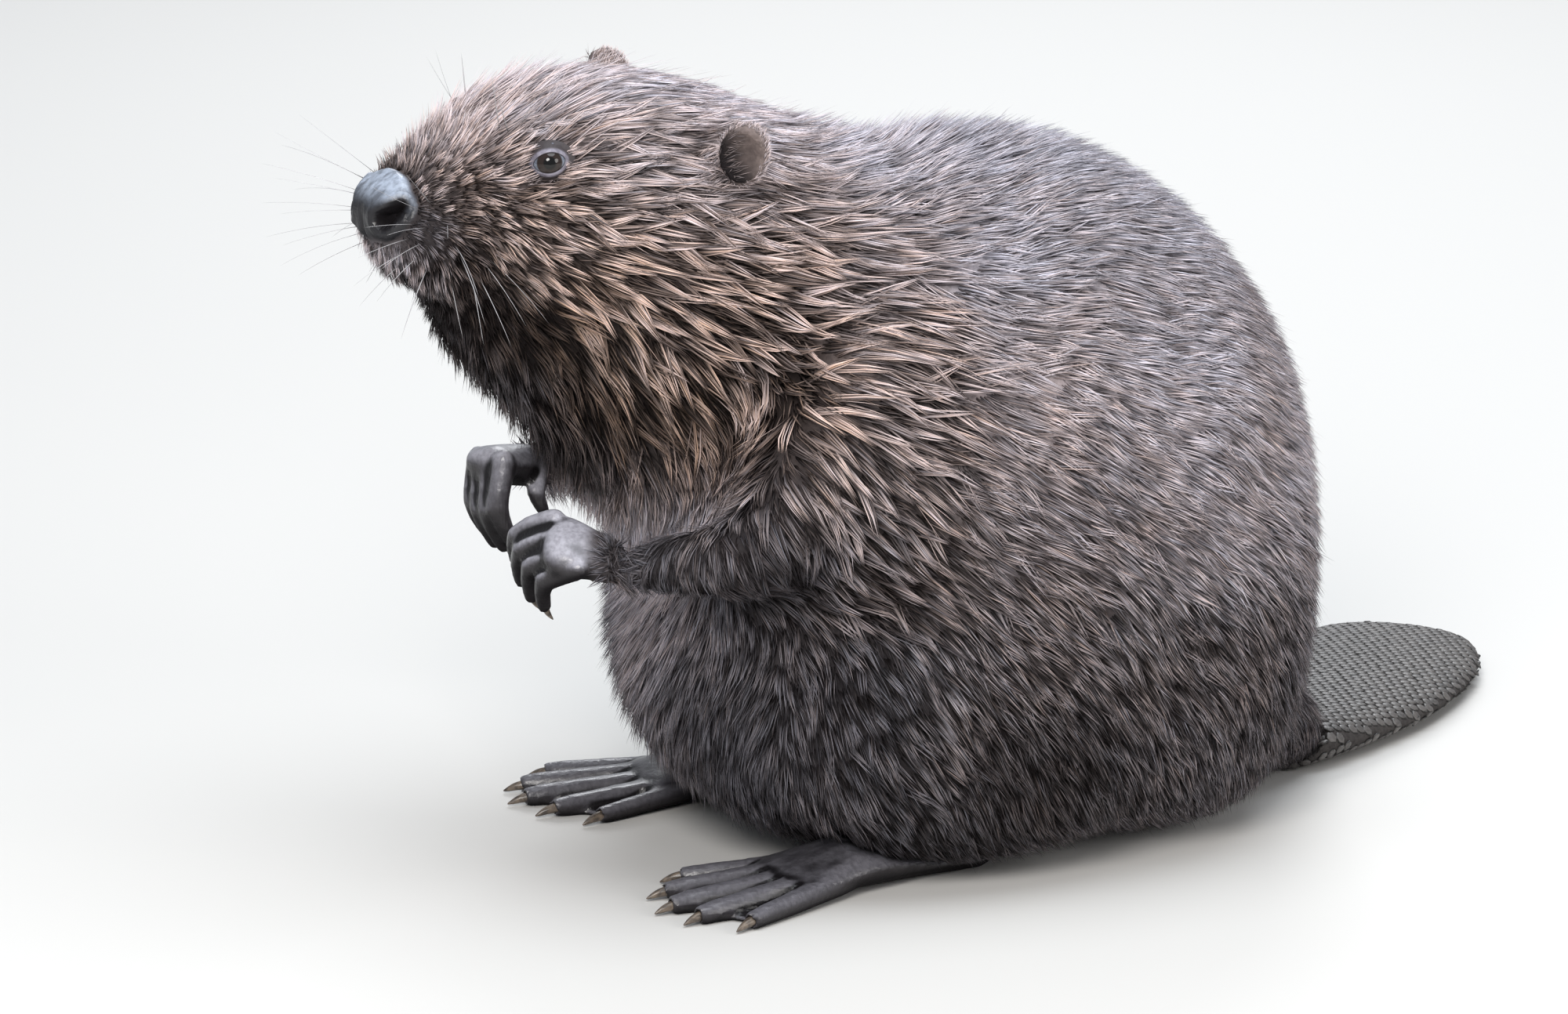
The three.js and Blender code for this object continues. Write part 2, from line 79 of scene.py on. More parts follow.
# The body's own frame: x from the shoulders back, y out from the spine, z from the floor.
SHOULDER_TO_THIGH = 0.060
BODY = np.array([centre_of("thigh_left")[0] - SHOULDER_TO_THIGH, centre_of("trunk")[1], 0.0])


def unit(v):
    """Vectors of length one, along the last axis."""
    return v / np.maximum(np.linalg.norm(v, axis=-1, keepdims=True), 1e-12)


def dot(a, b):
    """The dot product of each pair of vectors."""
    return np.einsum("ij,ij->i", a, b)


def ease(x, low, high):
    """0 below low, 1 above high, and the smooth cubic 3t^2 - 2t^3 between them."""
    t = np.clip((x - low) / (high - low), 0, 1)
    return t * t * (3 - 2 * t)


# ---- meshes


def mesh_of(name, points, *faces):
    """A mesh from points (n, 3) and arrays of triangles or quads, shaded smooth."""
    me = bpy.data.meshes.new(name)
    counts = np.concatenate([np.full(len(f), f.shape[1]) for f in faces])
    corners = np.concatenate([f.ravel() for f in faces]).astype(np.int32)
    me.vertices.add(len(points))
    me.vertices.foreach_set("co", np.ascontiguousarray(points, np.float32).ravel())
    me.loops.add(len(corners))
    me.loops.foreach_set("vertex_index", corners)
    me.polygons.add(len(counts))
    starts = np.concatenate([[0], np.cumsum(counts)[:-1]]).astype(np.int32)
    me.polygons.foreach_set("loop_start", starts)
    me.polygons.foreach_set("use_smooth", np.full(len(counts), True))
    me.update(calc_edges=True)
    return me


def read_from(items, key, per, kind=np.float32):
    """What every item holds under key, per numbers each, one after another."""
    values = np.empty(len(items) * per, kind)
    items.foreach_get(key, values)
    return values


def points_of(me):
    return read_from(me.vertices, "co", 3).reshape(-1, 3).astype(float)


def normals_of(me):
    return read_from(me.vertex_normals, "vector", 3).reshape(-1, 3).astype(float)


def set_points(me, points):
    me.vertices.foreach_set("co", np.ascontiguousarray(points, np.float32).ravel())
    me.update()


def set_value(me, name, values):
    """A named number on every vertex."""
    layer = me.attributes.new(name, "FLOAT", "POINT")
    layer.data.foreach_set("value", np.ascontiguousarray(values, np.float32))


def value_of(me, name):
    return read_from(me.attributes[name].data, "value", 1).astype(float)


def corners_of(me):
    """The vertices of each triangle."""
    return read_from(me.loops, "vertex_index", 1, np.int32).reshape(-1, 3)


def linked(name, data):
    """A new object in the scene."""
    o = bpy.data.objects.new(name, data)
    bpy.context.scene.collection.objects.link(o)
    return o


def shaped(me, *steps):
    """The mesh with modifiers applied, each given as its kind and settings."""
    work = linked("work", me)
    for kind, settings in steps:
        modifier = work.modifiers.new(kind, kind)
        for key, value in settings.items():
            setattr(modifier, key, value)
    return settled(work)


def settled(work):
    """The mesh an object ends in after its modifiers, with the object taken away."""
    depsgraph = bpy.context.evaluated_depsgraph_get()
    result = bpy.data.meshes.new_from_object(work.evaluated_get(depsgraph))
    bpy.data.objects.remove(work)
    return result


TRIANGLES = ("TRIANGULATE", {})
ROUNDED = ("SUBSURF", {"levels": 1, "render_levels": 1})
WELDED = ("WELD", {"merge_threshold": 1e-5})


def smoothing(rounds):
    """Each round moves every point halfway to the middle of its neighbours."""
    return "SMOOTH", {"factor": 0.5, "iterations": rounds}


def remeshing(voxel):
    return "REMESH", {"mode": "VOXEL", "voxel_size": voxel}


def softened(me, rounds, share):
    """Smoothed by that many rounds where share is 1, less where it is less."""
    points = points_of(me)
    soft = points_of(shaped(me, smoothing(rounds)))
    set_points(me, points + (soft - points) * share[:, None])


def joined(meshes, grow=0.0):
    """Triangle meshes as one, each pushed outward by grow."""
    points, triangles, start = [], [], 0
    for me in meshes:
        points.append(points_of(me) + normals_of(me) * grow)
        triangles.append(corners_of(me) + start)
        start += len(me.vertices)
    return mesh_of("joined", np.concatenate(points), np.concatenate(triangles))


def gathered(names, grow, *steps):
    """Copies of CAD nodes with doubles merged, reshaped, pushed outward by grow and joined."""
    parts = [shaped(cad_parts[name].data, WELDED, *steps, TRIANGLES) for name in names]
    whole = joined(parts, grow)
    for me in parts:
        bpy.data.meshes.remove(me)
    return whole


def tiled(faces, count):
    """Faces of one form, repeated for count forms that lie one after another in the points."""
    per = max(f.max() for f in faces) + 1
    base = (np.arange(count) * per)[:, None, None]
    return [(f + base).reshape(-1, f.shape[1]) for f in faces]


def rings_mesh(name, rings, loop=False):
    """A closed surface through rings of points (rows, columns, 3), joined row to row and around.

    With loop the last row joins the first; otherwise a point in the middle of
    each end row closes it. Faces are turned so that the volume inside is positive.
    """
    rows, columns = rings.shape[:2]
    row, column = np.meshgrid(np.arange(rows if loop else rows - 1), np.arange(columns), indexing="ij")
    beside = (column + 1) % columns
    after = (row + 1) % rows
    quads = np.stack([row * columns + column, row * columns + beside, after * columns + beside,
                      after * columns + column], -1).reshape(-1, 4)
    points = rings.reshape(-1, 3)
    faces = [quads]
    if not loop:
        points = np.concatenate([points, rings[:1].mean(1), rings[-1:].mean(1)])
        first = np.arange(columns)
        second = (first + 1) % columns
        last = (rows - 1) * columns
        faces.append(np.stack([second, first, np.full(columns, rows * columns)], -1))
        faces.append(np.stack([first + last, second + last, np.full(columns, rows * columns + 1)], -1))
    volume = sum(
        np.einsum("ij,ij->", points[f[:, 0]], np.cross(points[f[:, i]], points[f[:, i + 1]]))
        for f in faces for i in range(1, f.shape[1] - 1)
    )
    if volume < 0:
        faces = [f[:, ::-1] for f in faces]
    return mesh_of(name, points, *faces)


def tree_of(me):
    polygons = [tuple(p.vertices) for p in me.polygons]
    return BVHTree.FromPolygons([v.co for v in me.vertices], polygons)


def distances(tree, points):
    """Signed distances from points to a closed surface, negative inside."""
    found = [tree.find_nearest(Vector(p)) for p in points]
    near = np.array([f[0] for f in found])
    facing = np.array([f[1] for f in found])
    side = dot(points - near, facing)
    return np.where(side < 0, -1, 1) * np.array([f[3] for f in found])


def piece(name, me, material):
    """An object at the origin that rides on the body."""
    me.name = name
    me.materials.clear()
    me.materials.append(material)
    o = linked(name, me)
    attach(o, "root")
    return o


# ---- the straight head

# The head is turned and tipped; the line between the eyes gives both angles.
eye_line = centre_of("eye_right") - centre_of("eye_left")
HEAD_TURN = math.atan2(-eye_line[0], eye_line[1])
HEAD_TIP = math.asin(eye_line[2] / np.linalg.norm(eye_line))
HEAD_PIVOT = np.array([-45.0, 0.0, 300.0])
TURN_NONE = 20.0
TURN_WHOLE = -60.0


def turned(v, turn, tip):
    """Vectors tipped about X, then turned about Z."""
    y = v[:, 1] * np.cos(tip) - v[:, 2] * np.sin(tip)
    z = v[:, 1] * np.sin(tip) + v[:, 2] * np.cos(tip)
    x = v[:, 0] * np.cos(turn) - y * np.sin(turn)
    return np.stack([x, v[:, 0] * np.sin(turn) + y * np.cos(turn), z], -1)


def turned_back(v, turn, tip):
    """Vectors turned back about Z, then tipped back about X."""
    x = v[:, 0] * np.cos(turn) + v[:, 1] * np.sin(turn)
    y = v[:, 1] * np.cos(turn) - v[:, 0] * np.sin(turn)
    return np.stack([x, y * np.cos(tip) + v[:, 2] * np.sin(tip), v[:, 2] * np.cos(tip) - y * np.sin(tip)], -1)


def turn_share(x):
    """How much of the head's turn holds at x, in mm in the body's frame."""
    return ease(-x, -TURN_NONE, -TURN_WHOLE)


def straight(points):
    """Points in mm in the body's own frame, with the head turned back to straight ahead."""
    own = (points - BODY) / MM
    share = turn_share(own[:, 0])
    return turned_back(own - HEAD_PIVOT, HEAD_TURN * share, HEAD_TIP * share) + HEAD_PIVOT


def one_side(points):
    """Points on the straight body, those on the right brought over to the left."""
    own = straight(points)
    own[:, 1] = np.abs(own[:, 1])
    return own


def placed(spots):
    """Points of the straight head in mm, as places in the scene."""
    spots = np.atleast_2d(np.asarray(spots, float))
    share = turn_share(spots[:, 0])
    own = turned(spots - HEAD_PIVOT, HEAD_TURN * share, HEAD_TIP * share) + HEAD_PIVOT
    return own * MM + BODY


# ---- the coat's stations

# How the coat lies and looks at places on the straight body, in mm and alike
# on both sides. Between them it blends. In turn: place, the way the hair
# points, its length, the breadth of a strand, the coat's depth, half the
# breadth of a wet lock, how far tips stand off, warmth from grey to tawny,
# lightness of the tips, strands on a square centimetre, how wet (how closely
# a lock's tips draw together), and how light the roots are beside the tips.
# The lightness of the tips also carries painted shade under the mouth, at the throat, under the forearms and
# between the arms, painted light on the chest in the arms' shadow, and a painted sky sheen on the back.
STATIONS = [
    # snout, lips and chin
    ((-196, 0, 345), (0.7, 0, 0.7), 8, 0.5, 1.6, 1.6, 0.6, 0.45, 0.85, 60, 0.6, 0.15),
    ((-196, 16, 335), (0.8, 0.3, 0.5), 6, 0.45, 1.2, 1.6, 0.5, 0.45, 0.7, 60, 0.6, 0.1),
    ((-184, 28, 327), (0.6, 0.6, 0.3), 7, 0.5, 2.4, 1.8, 0.65, 0.5, 0.85, 70, 0.7, 0.03),
    ((-172, 38, 318), (0.7, 0.5, 0), 8, 0.55, 2.6, 2, 0.55, 0.55, 0.85, 64, 0.7, 0.03),
    ((-193, 27, 310), (0.6, 0.5, -0.3), 5, 0.4, 1.4, 1.4, 0.35, 0.2, 0.38, 75, 0.4, 0.08),
    ((-203, 12, 296), (0.1, 0.1, -1), 7, 0.4, 1.4, 1.4, 0.3, 0.15, 1, 75, 0.4, 0.2),
    ((-193, 24, 292), (0.3, 0.2, -0.9), 7, 0.45, 1.8, 1.6, 0.35, 0.3, 0.6, 70, 0.5, 0.03),
    ((-190, 14, 279), (0.3, 0.1, -0.9), 6, 0.45, 1.8, 1.6, 0.35, 0.25, 0.12, 60, 0.5, 0.02),
    # Near-black tips under the mouth, on the chin and at the throat are painted shade.
    ((-177, 38, 292), (0.7, 0.2, -0.7), 9, 0.6, 2.6, 2.4, 0.35, 0.6, 0.015, 45, 0.6, 0),
    ((-180, 8, 264), (0.5, 0, -0.8), 7, 0.5, 2, 2, 0.4, 0.1, 0.01, 45, 0.5, 0),
    ((-168, 34, 274), (0.7, 0.1, -0.7), 11, 0.7, 3.5, 2.2, 0.35, 0.6, 0.004, 44, 0.6, 0),
    ((-150, 45, 268), (0.7, 0.1, -0.7), 16, 0.8, 5, 3.1, 0.35, 0.85, 0.03, 26, 0.7, 0),
    ((-152, 20, 240), (0.5, 0, -0.85), 12, 0.6, 5, 2.2, 0.35, 0.2, 0.12, 36, 0.5, 0),
    ((-118, 20, 200), (0.5, 0.1, -0.85), 18, 0.8, 6.5, 2.8, 0.35, 0.3, 0.07, 26, 0.6, 0),
    ((-120, 48, 225), (0.6, 0.1, -0.75), 20, 1, 7, 3.7, 0.35, 0.85, 0.12, 20, 0.8, 0),
    # brow, crown and cheeks
    ((-176, 12, 351), (0.85, 0.1, 0.45), 13, 0.6, 2.4, 1.6, 0.55, 0.3, 1.15, 62, 0.8, 0.5),
    ((-150, 18, 358), (0.95, 0.05, 0.12), 27, 0.7, 3.2, 2.2, 0.26, 0.25, 1.15, 36, 0.9, 0.55),
    ((-118, 16, 363), (1, 0.05, 0.02), 38, 0.8, 2.8, 2.6, 0.02, 0.2, 1.1, 27, 0.92, 0.55),
    ((-84, 14, 364), (1, 0, -0.05), 37, 0.8, 3.4, 2.8, 0.03, 0.15, 1.1, 26, 0.9, 0.55),
    ((-40, 12, 354), (1, 0, -0.12), 30, 0.8, 5, 2.6, 0.08, 0.15, 1.15, 26, 0.8, 0.7),
    ((-154, 36, 341), (0.85, 0.1, 0.35), 13, 0.6, 2.6, 1.6, 0.25, 0.35, 0.95, 66, 0.7, 0.08),
    ((-110, 46, 349), (1, 0.06, 0.05), 34, 0.8, 3.4, 2.6, 0.03, 0.35, 1, 28, 0.92, 0.3),
    ((-118, 50, 336), (1, 0.08, -0.05), 24, 0.8, 3.6, 2.2, 0.1, 0.4, 0.95, 46, 0.9, 0.03),
    ((-78, 58, 325), (1, 0.05, -0.15), 31, 0.8, 4.6, 2.8, 0.05, 0.4, 1, 28, 0.9, 0.16),
    ((-150, 48, 322), (0.9, 0.25, -0.25), 13, 0.6, 3, 1.7, 0.22, 0.6, 0.95, 62, 0.7, 0.06),
    ((-160, 46, 304), (0.8, 0.2, -0.5), 12, 0.6, 3.4, 1.7, 0.3, 0.65, 0.85, 60, 0.7, 0.04),
    ((-130, 58, 308), (0.92, 0.12, -0.35), 22, 0.7, 4.5, 2, 0.12, 0.55, 1.1, 44, 0.9, 0.03),
    ((-138, 54, 288), (0.78, 0.1, -0.58), 20, 0.7, 5, 2.2, 0.22, 0.7, 0.9, 40, 0.9, 0.02),
    ((-100, 66, 290), (0.88, 0.08, -0.42), 27, 0.78, 6.5, 2.5, 0.12, 0.6, 1.1, 28, 0.97, 0.02),
    ((-116, 62, 262), (0.75, 0.1, -0.62), 27, 0.82, 7, 2.6, 0.2, 0.75, 0.8, 22, 0.97, 0),
    # neck, chest and shoulders
    ((-62, 76, 272), (0.9, 0.05, -0.40), 31, 0.82, 7.5, 2.9, 0.12, 0.6, 1.05, 20, 1, 0),
    ((-84, 68, 226), (0.68, 0.05, -0.70), 30, 0.88, 8, 2.9, 0.25, 0.8, 0.45, 20, 0.97, 0),
    ((-40, 84, 238), (0.85, 0.05, -0.50), 31, 0.85, 8.5, 2.9, 0.15, 0.65, 0.95, 19, 1, 0),
    ((-84, 50, 186), (0.45, 0.1, -0.88), 24, 1, 8, 4, 0.35, 0.45, 0.65, 22, 0.85, 0.1),
    # The chest's pale tips and roots are raised as painted light against the arms' shadow.
    ((-72, 42, 172), (0.2, 0.1, -0.95), 18, 0.6, 6, 2.4, 0.35, 0.08, 0.8, 36, 0.6, 0.7),
    ((-66, 22, 150), (0.1, 0, -1), 17, 0.6, 6, 2.2, 0.35, 0.15, 0.9, 34, 0.5, 0.85),
    ((0, 92, 264), (0.93, 0.03, -0.34), 30, 0.75, 8, 2.5, 0.12, 0.42, 1.1, 21, 0.95, 0.2),
    ((10, 98, 222), (0.86, 0.03, -0.50), 29, 0.78, 8, 2.5, 0.14, 0.45, 0.95, 22, 0.95, 0.1),
    ((-18, 108, 200), (0.62, 0.35, -0.7), 26, 0.8, 7, 2.3, 0.15, 0.35, 0.75, 24, 0.8, 0.05),
    ((-5, 112, 155), (0.75, 0.1, -0.65), 24, 0.75, 6.5, 2.3, 0.15, 0.4, 0.5, 26, 0.9, 0.05),
    # Dark tips under the forearm and between the arms are painted shade.
    ((-55, 105, 165), (0.35, 0.6, -0.72), 18, 0.7, 3, 2.2, 0.12, 0.12, 0.08, 34, 0.6, 0.1),
    ((-85, 75, 160), (-0.5, 0.35, -0.75), 10, 0.55, 1.4, 2.1, 0.1, 0, 0.12, 66, 0.5, 0.15),
    # back, flanks and rump
    ((30, 20, 324), (1, 0, -0.04), 19, 0.8, 6, 2.5, 0.28, 0.08, 1, 30, 0.5, 0.6),
    ((100, 20, 325), (0.98, 0, -0.16), 17, 0.8, 6, 2.5, 0.22, 0, 0.85, 30, 0.5, 0.55),
    ((170, 20, 300), (0.88, 0, -0.45), 16, 0.8, 6, 2.5, 0.18, 0, 0.85, 30, 0.5, 0.55),
    ((220, 15, 240), (0.6, 0, -0.8), 16, 0.8, 6, 2.5, 0.15, 0.15, 0.75, 30, 0.5, 0.45),
    ((244, 15, 150), (0.2, 0, -1), 15, 0.8, 5.5, 2.5, 0.18, 0.25, 0.85, 30, 0.5, 0.25),
    ((236, 20, 60), (0.1, 0, -1), 14, 0.8, 4.5, 2.2, 0.2, 0.2, 0.35, 30, 0.5, 0.15),
    ((60, 92, 290), (0.96, 0.02, -0.25), 20, 0.8, 7, 2.6, 0.14, 0.05, 1, 26, 0.65, 0.55),
    ((70, 128, 230), (0.9, 0.02, -0.42), 20, 0.75, 7, 2.5, 0.12, 0.25, 1, 26, 0.65, 0.5),
    ((60, 138, 175), (0.8, 0.02, -0.58), 19, 0.75, 7, 2.4, 0.12, 0.28, 0.78, 26, 0.65, 0.28),
    ((150, 115, 230), (0.85, -0.08, -0.5), 17, 0.75, 6.5, 2.4, 0.12, 0.12, 1.05, 28, 0.6, 0.5),
    ((165, 120, 165), (0.7, -0.1, -0.68), 17, 0.75, 6, 2.4, 0.12, 0.2, 0.95, 28, 0.6, 0.36),
    ((215, 80, 190), (0.6, -0.3, -0.72), 16, 0.75, 6, 2.3, 0.12, 0.2, 0.95, 28, 0.6, 0.45),
    # thighs and belly
    ((60, 142, 120), (0.62, 0, -0.78), 16, 0.75, 6, 2.4, 0.16, 0.3, 0.5, 32, 0.6, 0.08),
    ((70, 138, 65), (0.45, 0, -0.9), 14, 0.7, 5.5, 2.2, 0.2, 0.25, 0.17, 34, 0.5, 0.02),
    ((160, 118, 95), (0.4, -0.05, -0.9), 14, 0.75, 5, 2.2, 0.16, 0.25, 0.42, 34, 0.5, 0.06),
    ((200, 85, 60), (0.2, -0.1, -1), 13, 0.75, 4.5, 2.2, 0.2, 0.2, 0.36, 32, 0.5, 0.03),
    ((-20, 118, 110), (0.5, 0.1, -0.86), 15, 0.6, 5.5, 2, 0.25, 0.05, 0.2, 38, 0.5, 0.08),
    ((-52, 70, 90), (0.3, 0.1, -0.95), 14, 0.55, 5.5, 2.4, 0.35, 0, 0.2, 42, 0.4, 0.3),
    ((20, 90, 22), (0.5, 0, -0.6), 11, 0.7, 4, 2.4, 0.15, 0.1, 0.12, 34, 0.5, 0.05),
    ((90, 0, 2), (1, 0, 0), 10, 0.9, 3, 2.2, 0.05, 0.1, 0.15, 14, 0.5, 0.05),
    ((215, 20, 55), (0.8, 0, -0.5), 13, 0.75, 4, 2.2, 0.15, 0.2, 0.25, 32, 0.5, 0.1),
]
PLACES = np.array([s[0] for s in STATIONS], float)
WAYS = unit(np.array([s[1] for s in STATIONS], float))
MEASURES = np.array([s[2:] for s in STATIONS], float)
LONG, WIDE, DEEP, LOCK, STAND, WARM, LIGHT, THICK, WET, BASE = range(10)
FACE_BLUR = 6.0
BODY_BLUR = 16.0


def near_stations(points):
    """Each station's share at each point: (d^2 + blur^2)^-2, made to sum to one."""
    own = straight(points)
    side = np.where(own[:, 1] < 0, -1.0, 1.0)
    own[:, 1] = np.abs(own[:, 1])
    gap = (own**2).sum(1)[:, None] + (PLACES**2).sum(1) - 2 * own @ PLACES.T
    blur = FACE_BLUR + (BODY_BLUR - FACE_BLUR) * ease(own[:, 0], -150, -70)
    share = (gap + blur[:, None] ** 2) ** -2.0
    return share / share.sum(1, keepdims=True), side, own


def measures_at(points):
    """The coat's measures at each point."""
    share, _, _ = near_stations(points)
    return share @ MEASURES


def way_at(points):
    """The way the hair points, before it is laid on the skin."""
    share, side, own = near_stations(points)
    way = share @ WAYS
    way[:, 1] *= side
    part = turn_share(own[:, 0])
    return unit(turned(way, HEAD_TURN * part, HEAD_TIP * part))


# ---- skin

MASS = ["head", "neck", "trunk", "tail_root"]
MASS += [f"{part}_{side}" for side in SIDES for part in ("thigh", "upper_arm", "forearm")]
FINE = ["nose", "tail"]
FINE += [f"{part}_{side}" for side in SIDES for part in ("ear", "hand", "foot")]
GROW = 1.0 * MM
FINE_GROW = 0.2 * MM
MASS_VOXEL = 5.0 * MM
SKIN_VOXEL = 1.5 * MM
SKIN_OFF_FLOOR = 0.2 * MM

# The form is set in below the chin and raised at the brow, in mm, and smoothed more at the shoulder.
CHIN_SET_BACK = 7.0
BROW_RAISE = 3.0
SHOULDER = np.array([-12.0, 98.0, 220.0])
SHOULDER_REACH = (36.0, 90.0)
SHOULDER_ROUNDS = 45
DEPTH_SHARE = 0.85


def mass_mesh():
    """Head, neck, trunk and limbs as one smooth form, lying inside them by the coat's depth."""
    me = shaped(gathered(MASS, GROW), remeshing(MASS_VOXEL), smoothing(10))
    off_shoulder = np.linalg.norm(one_side(points_of(me)) - SHOULDER, axis=1)
    softened(me, SHOULDER_ROUNDS, 1 - ease(off_shoulder, *SHOULDER_REACH))
    points = points_of(me)
    own = straight(points)
    chin = ease(-own[:, 2], -280, -271) * ease(own[:, 2], 238, 262) * ease(-own[:, 0], 150, 176)
    brow = ease(own[:, 2], 338, 352) * ease(-own[:, 0], 128, 148) * ease(own[:, 0], -186, -166)
    depth = measures_at(points)[:, DEEP] * DEPTH_SHARE + CHIN_SET_BACK * chin - BROW_RAISE * brow
    set_points(me, points - normals_of(me) * (depth * MM + GROW)[:, None])
    return shaped(me, smoothing(3), ROUNDED)


def fine_mesh():
    """Nose, ears, hands, feet and tail, rounded."""
    return gathered(FINE, FINE_GROW, ROUNDED)


class Ground:
    """Signed distance to the smooth form on a grid of points, read between them."""

    STEP = 6 * MM
    MARGIN = 30 * MM

    def __init__(self, me):
        tree = tree_of(me)
        points = points_of(me)
        self.low = points.min(0) - self.MARGIN
        self.shape = np.ceil((points.max(0) + self.MARGIN - self.low) / self.STEP).astype(int) + 1
        steps = [np.arange(n) * self.STEP + a for n, a in zip(self.shape, self.low)]
        spots = np.stack(np.meshgrid(*steps, indexing="ij"), -1).reshape(-1, 3)
        self.values = distances(tree, spots).reshape(self.shape)
        self.slopes = np.stack(np.gradient(self.values, self.STEP), -1)

    def read(self, grid, points):
        """Trilinear reading of a grid at points."""
        at = np.clip((points - self.low) / self.STEP, 0, self.shape - 1.001)
        base = at.astype(int)
        share = at - base
        total = 0
        for corner in np.ndindex(2, 2, 2):
            weight = np.prod(np.where(corner, share, 1 - share), -1)
            cell = grid[tuple((base + corner).T)]
            total = total + (weight[:, None] * cell if cell.ndim == 2 else weight * cell)
        return total

    def up(self, points):
        return unit(self.read(self.slopes, points))

    def onto(self, points):
        """The points moved along the slope to the surface."""
        return points - self.up(points) * self.read(self.values, points)[:, None]


mass = mass_mesh()
ground = Ground(mass)


# ---- eyes, nostrils and lips

# Places and depths on the straight head, in mm, for the left side; the right mirrors them.
NOSTRIL = [(-208.5, 14.0, 314.0), (-203.0, 19.5, 320.5)]
NOSTRIL_WIDTH = 4.3
NOSTRIL_DEPTH = 8.0
NOSTRIL_TAIL = [(-205.5, 18.5, 318.5), (-199.0, 21.5, 323.5)]
NOSTRIL_TAIL_DEPTH = 1.6
NOSTRIL_RIM = 0.9
NOSE_GROOVE = 1.2
LIP = [(-193.0, 0.0, 274.5), (-190.5, 16.0, 279.0), (-186.0, 31.0, 291.0), (-178.0, 37.5, 296.5)]
LIP_WIDTH = 3.8
LIP_DEPTH = 7.0
DISH = np.array([-63.0, 70.0, 340.0])
DISH_RADII = np.array([12.5, 11.0, 12.8])
# Where the painted shade in the ear's hollow fades out, in mm.
EAR_FADE = (-65.0, -49.0)
BALL = 8.6
EYE_SUNK = 0.8
SOCKET_DEPTH = 3.6
LID_WIDE = 6.9
LID_HIGH = 4.3


def bell(x, breadth):
    """1 at 0, falling off to either side as exp(-(x / breadth)^2)."""
    return np.exp(-((x / breadth) ** 2))


def to_line(points, corners):
    """Distance from points to a line through corners."""
    best = np.full(len(points), np.inf)
    for a, b in zip(corners[:-1], corners[1:]):
        a, b = np.array(a), np.array(b)
        t = np.clip((points - a) @ (b - a) / ((b - a) @ (b - a)), 0, 1)
        best = np.minimum(best, np.linalg.norm(points - a - t[:, None] * (b - a), axis=1))
    return best


def eye_axes(side):
    """An eye's middle and its directions to the nose, upward and outward."""
    middle = centre_of(f"eye_{side}")
    head = np.array([[-0.42, SIDES[side] * 0.88, 0.20], [-1.0, 0.0, -0.08]])
    out, ahead = turned(head, HEAD_TURN, HEAD_TIP)
    outward = unit(out)
    to_nose = unit(ahead - outward * (ahead @ outward))
    upward = np.cross(to_nose, outward)
    upward *= math.copysign(1.0, upward[2])
    return middle - outward * EYE_SUNK * MM, to_nose, upward, outward


def eye_sight(side, points):
    """Places seen along an eye's axis: toward the nose, up, and outward from its middle, in mm."""
    middle, to_nose, upward, outward = eye_axes(side)
    off = (points - middle) / MM
    return off @ to_nose, off @ upward, off @ outward


def carved(points, normals):
    """Points moved inward at the nostrils, the mouth and the eyes."""
    own = one_side(points)
    gap = to_line(own, NOSTRIL)
    inward = NOSTRIL_DEPTH * (1 - ease(gap, 0.5 * NOSTRIL_WIDTH, 1.2 * NOSTRIL_WIDTH))
    inward += NOSTRIL_TAIL_DEPTH * bell(to_line(own, NOSTRIL_TAIL), 1.8)
    inward -= NOSTRIL_RIM * bell(gap - 1.8 * NOSTRIL_WIDTH, 1.8)
    groove = NOSE_GROOVE * bell(own[:, 1], 1.6) * ease(-own[:, 0], 205, 209)
    inward += groove * ease(-own[:, 2], -322, -312)
    inward += LIP_DEPTH * bell(to_line(own, LIP), LIP_WIDTH)
    for side in SIDES:
        forward, up, out = eye_sight(side, points)
        round_off = np.hypot(forward / 1.25, up)
        inward += np.where(out > 0, SOCKET_DEPTH * (1 - ease(round_off, 5.5, 8.5)), 0)
    return points - normals * (inward * MM)[:, None]


skin_mesh = shaped(joined([shaped(mass, TRIANGLES), fine_mesh()]), remeshing(SKIN_VOXEL), smoothing(2))


def meeting(a, b):
    """The middle of the space two nodes' boxes share."""
    (low_a, high_a), (low_b, high_b) = corner_pair(a), corner_pair(b)
    return (np.maximum(low_a, low_b) + np.minimum(high_a, high_b)) / 2


WRISTS = [meeting(f"hand_{side}", f"forearm_{side}") for side in SIDES]
WRIST_ROUNDS = 40
NOSE_ROUNDS = 24


def off_wrists(points):
    """Distance to the nearer wrist in mm."""
    return np.min([np.linalg.norm(points - wrist, axis=1) for wrist in WRISTS], axis=0) / MM


low, high = corner_pair("nose")
off_nose = np.maximum(np.maximum(low - points_of(skin_mesh), points_of(skin_mesh) - high).max(1), 0) / MM
softened(skin_mesh, NOSE_ROUNDS, 1 - ease(off_nose, 0.0, 6.0))
softened(skin_mesh, WRIST_ROUNDS, 1 - ease(off_wrists(points_of(skin_mesh)), 12.0, 24.0))

# The painted shade in the nostrils and the mouth is marked before they are carved.
uncarved = one_side(points_of(skin_mesh))
pit_shade = 1 - ease(to_line(uncarved, NOSTRIL), 4.0, 5.6)
pit_shade = np.maximum(pit_shade, 0.95 * bell(to_line(uncarved, LIP), 3.6))
shape = carved(points_of(skin_mesh), normals_of(skin_mesh))
shape[:, 2] = np.maximum(shape[:, 2], SKIN_OFF_FLOOR)
set_points(skin_mesh, shape)

# A vertex is bare by how much nearer it is to a bare node than to the coat's own form.
BARE = {"nose": ["nose"], "scale": ["tail"]}
BARE["hand"] = [f"{part}_{side}" for side in SIDES for part in ("hand", "foot")]
BARE["ear"] = [f"ear_{side}" for side in SIDES]
PART_NEAR = 4 * MM
PART_LEAD = (-0.5 * MM, 2 * MM)

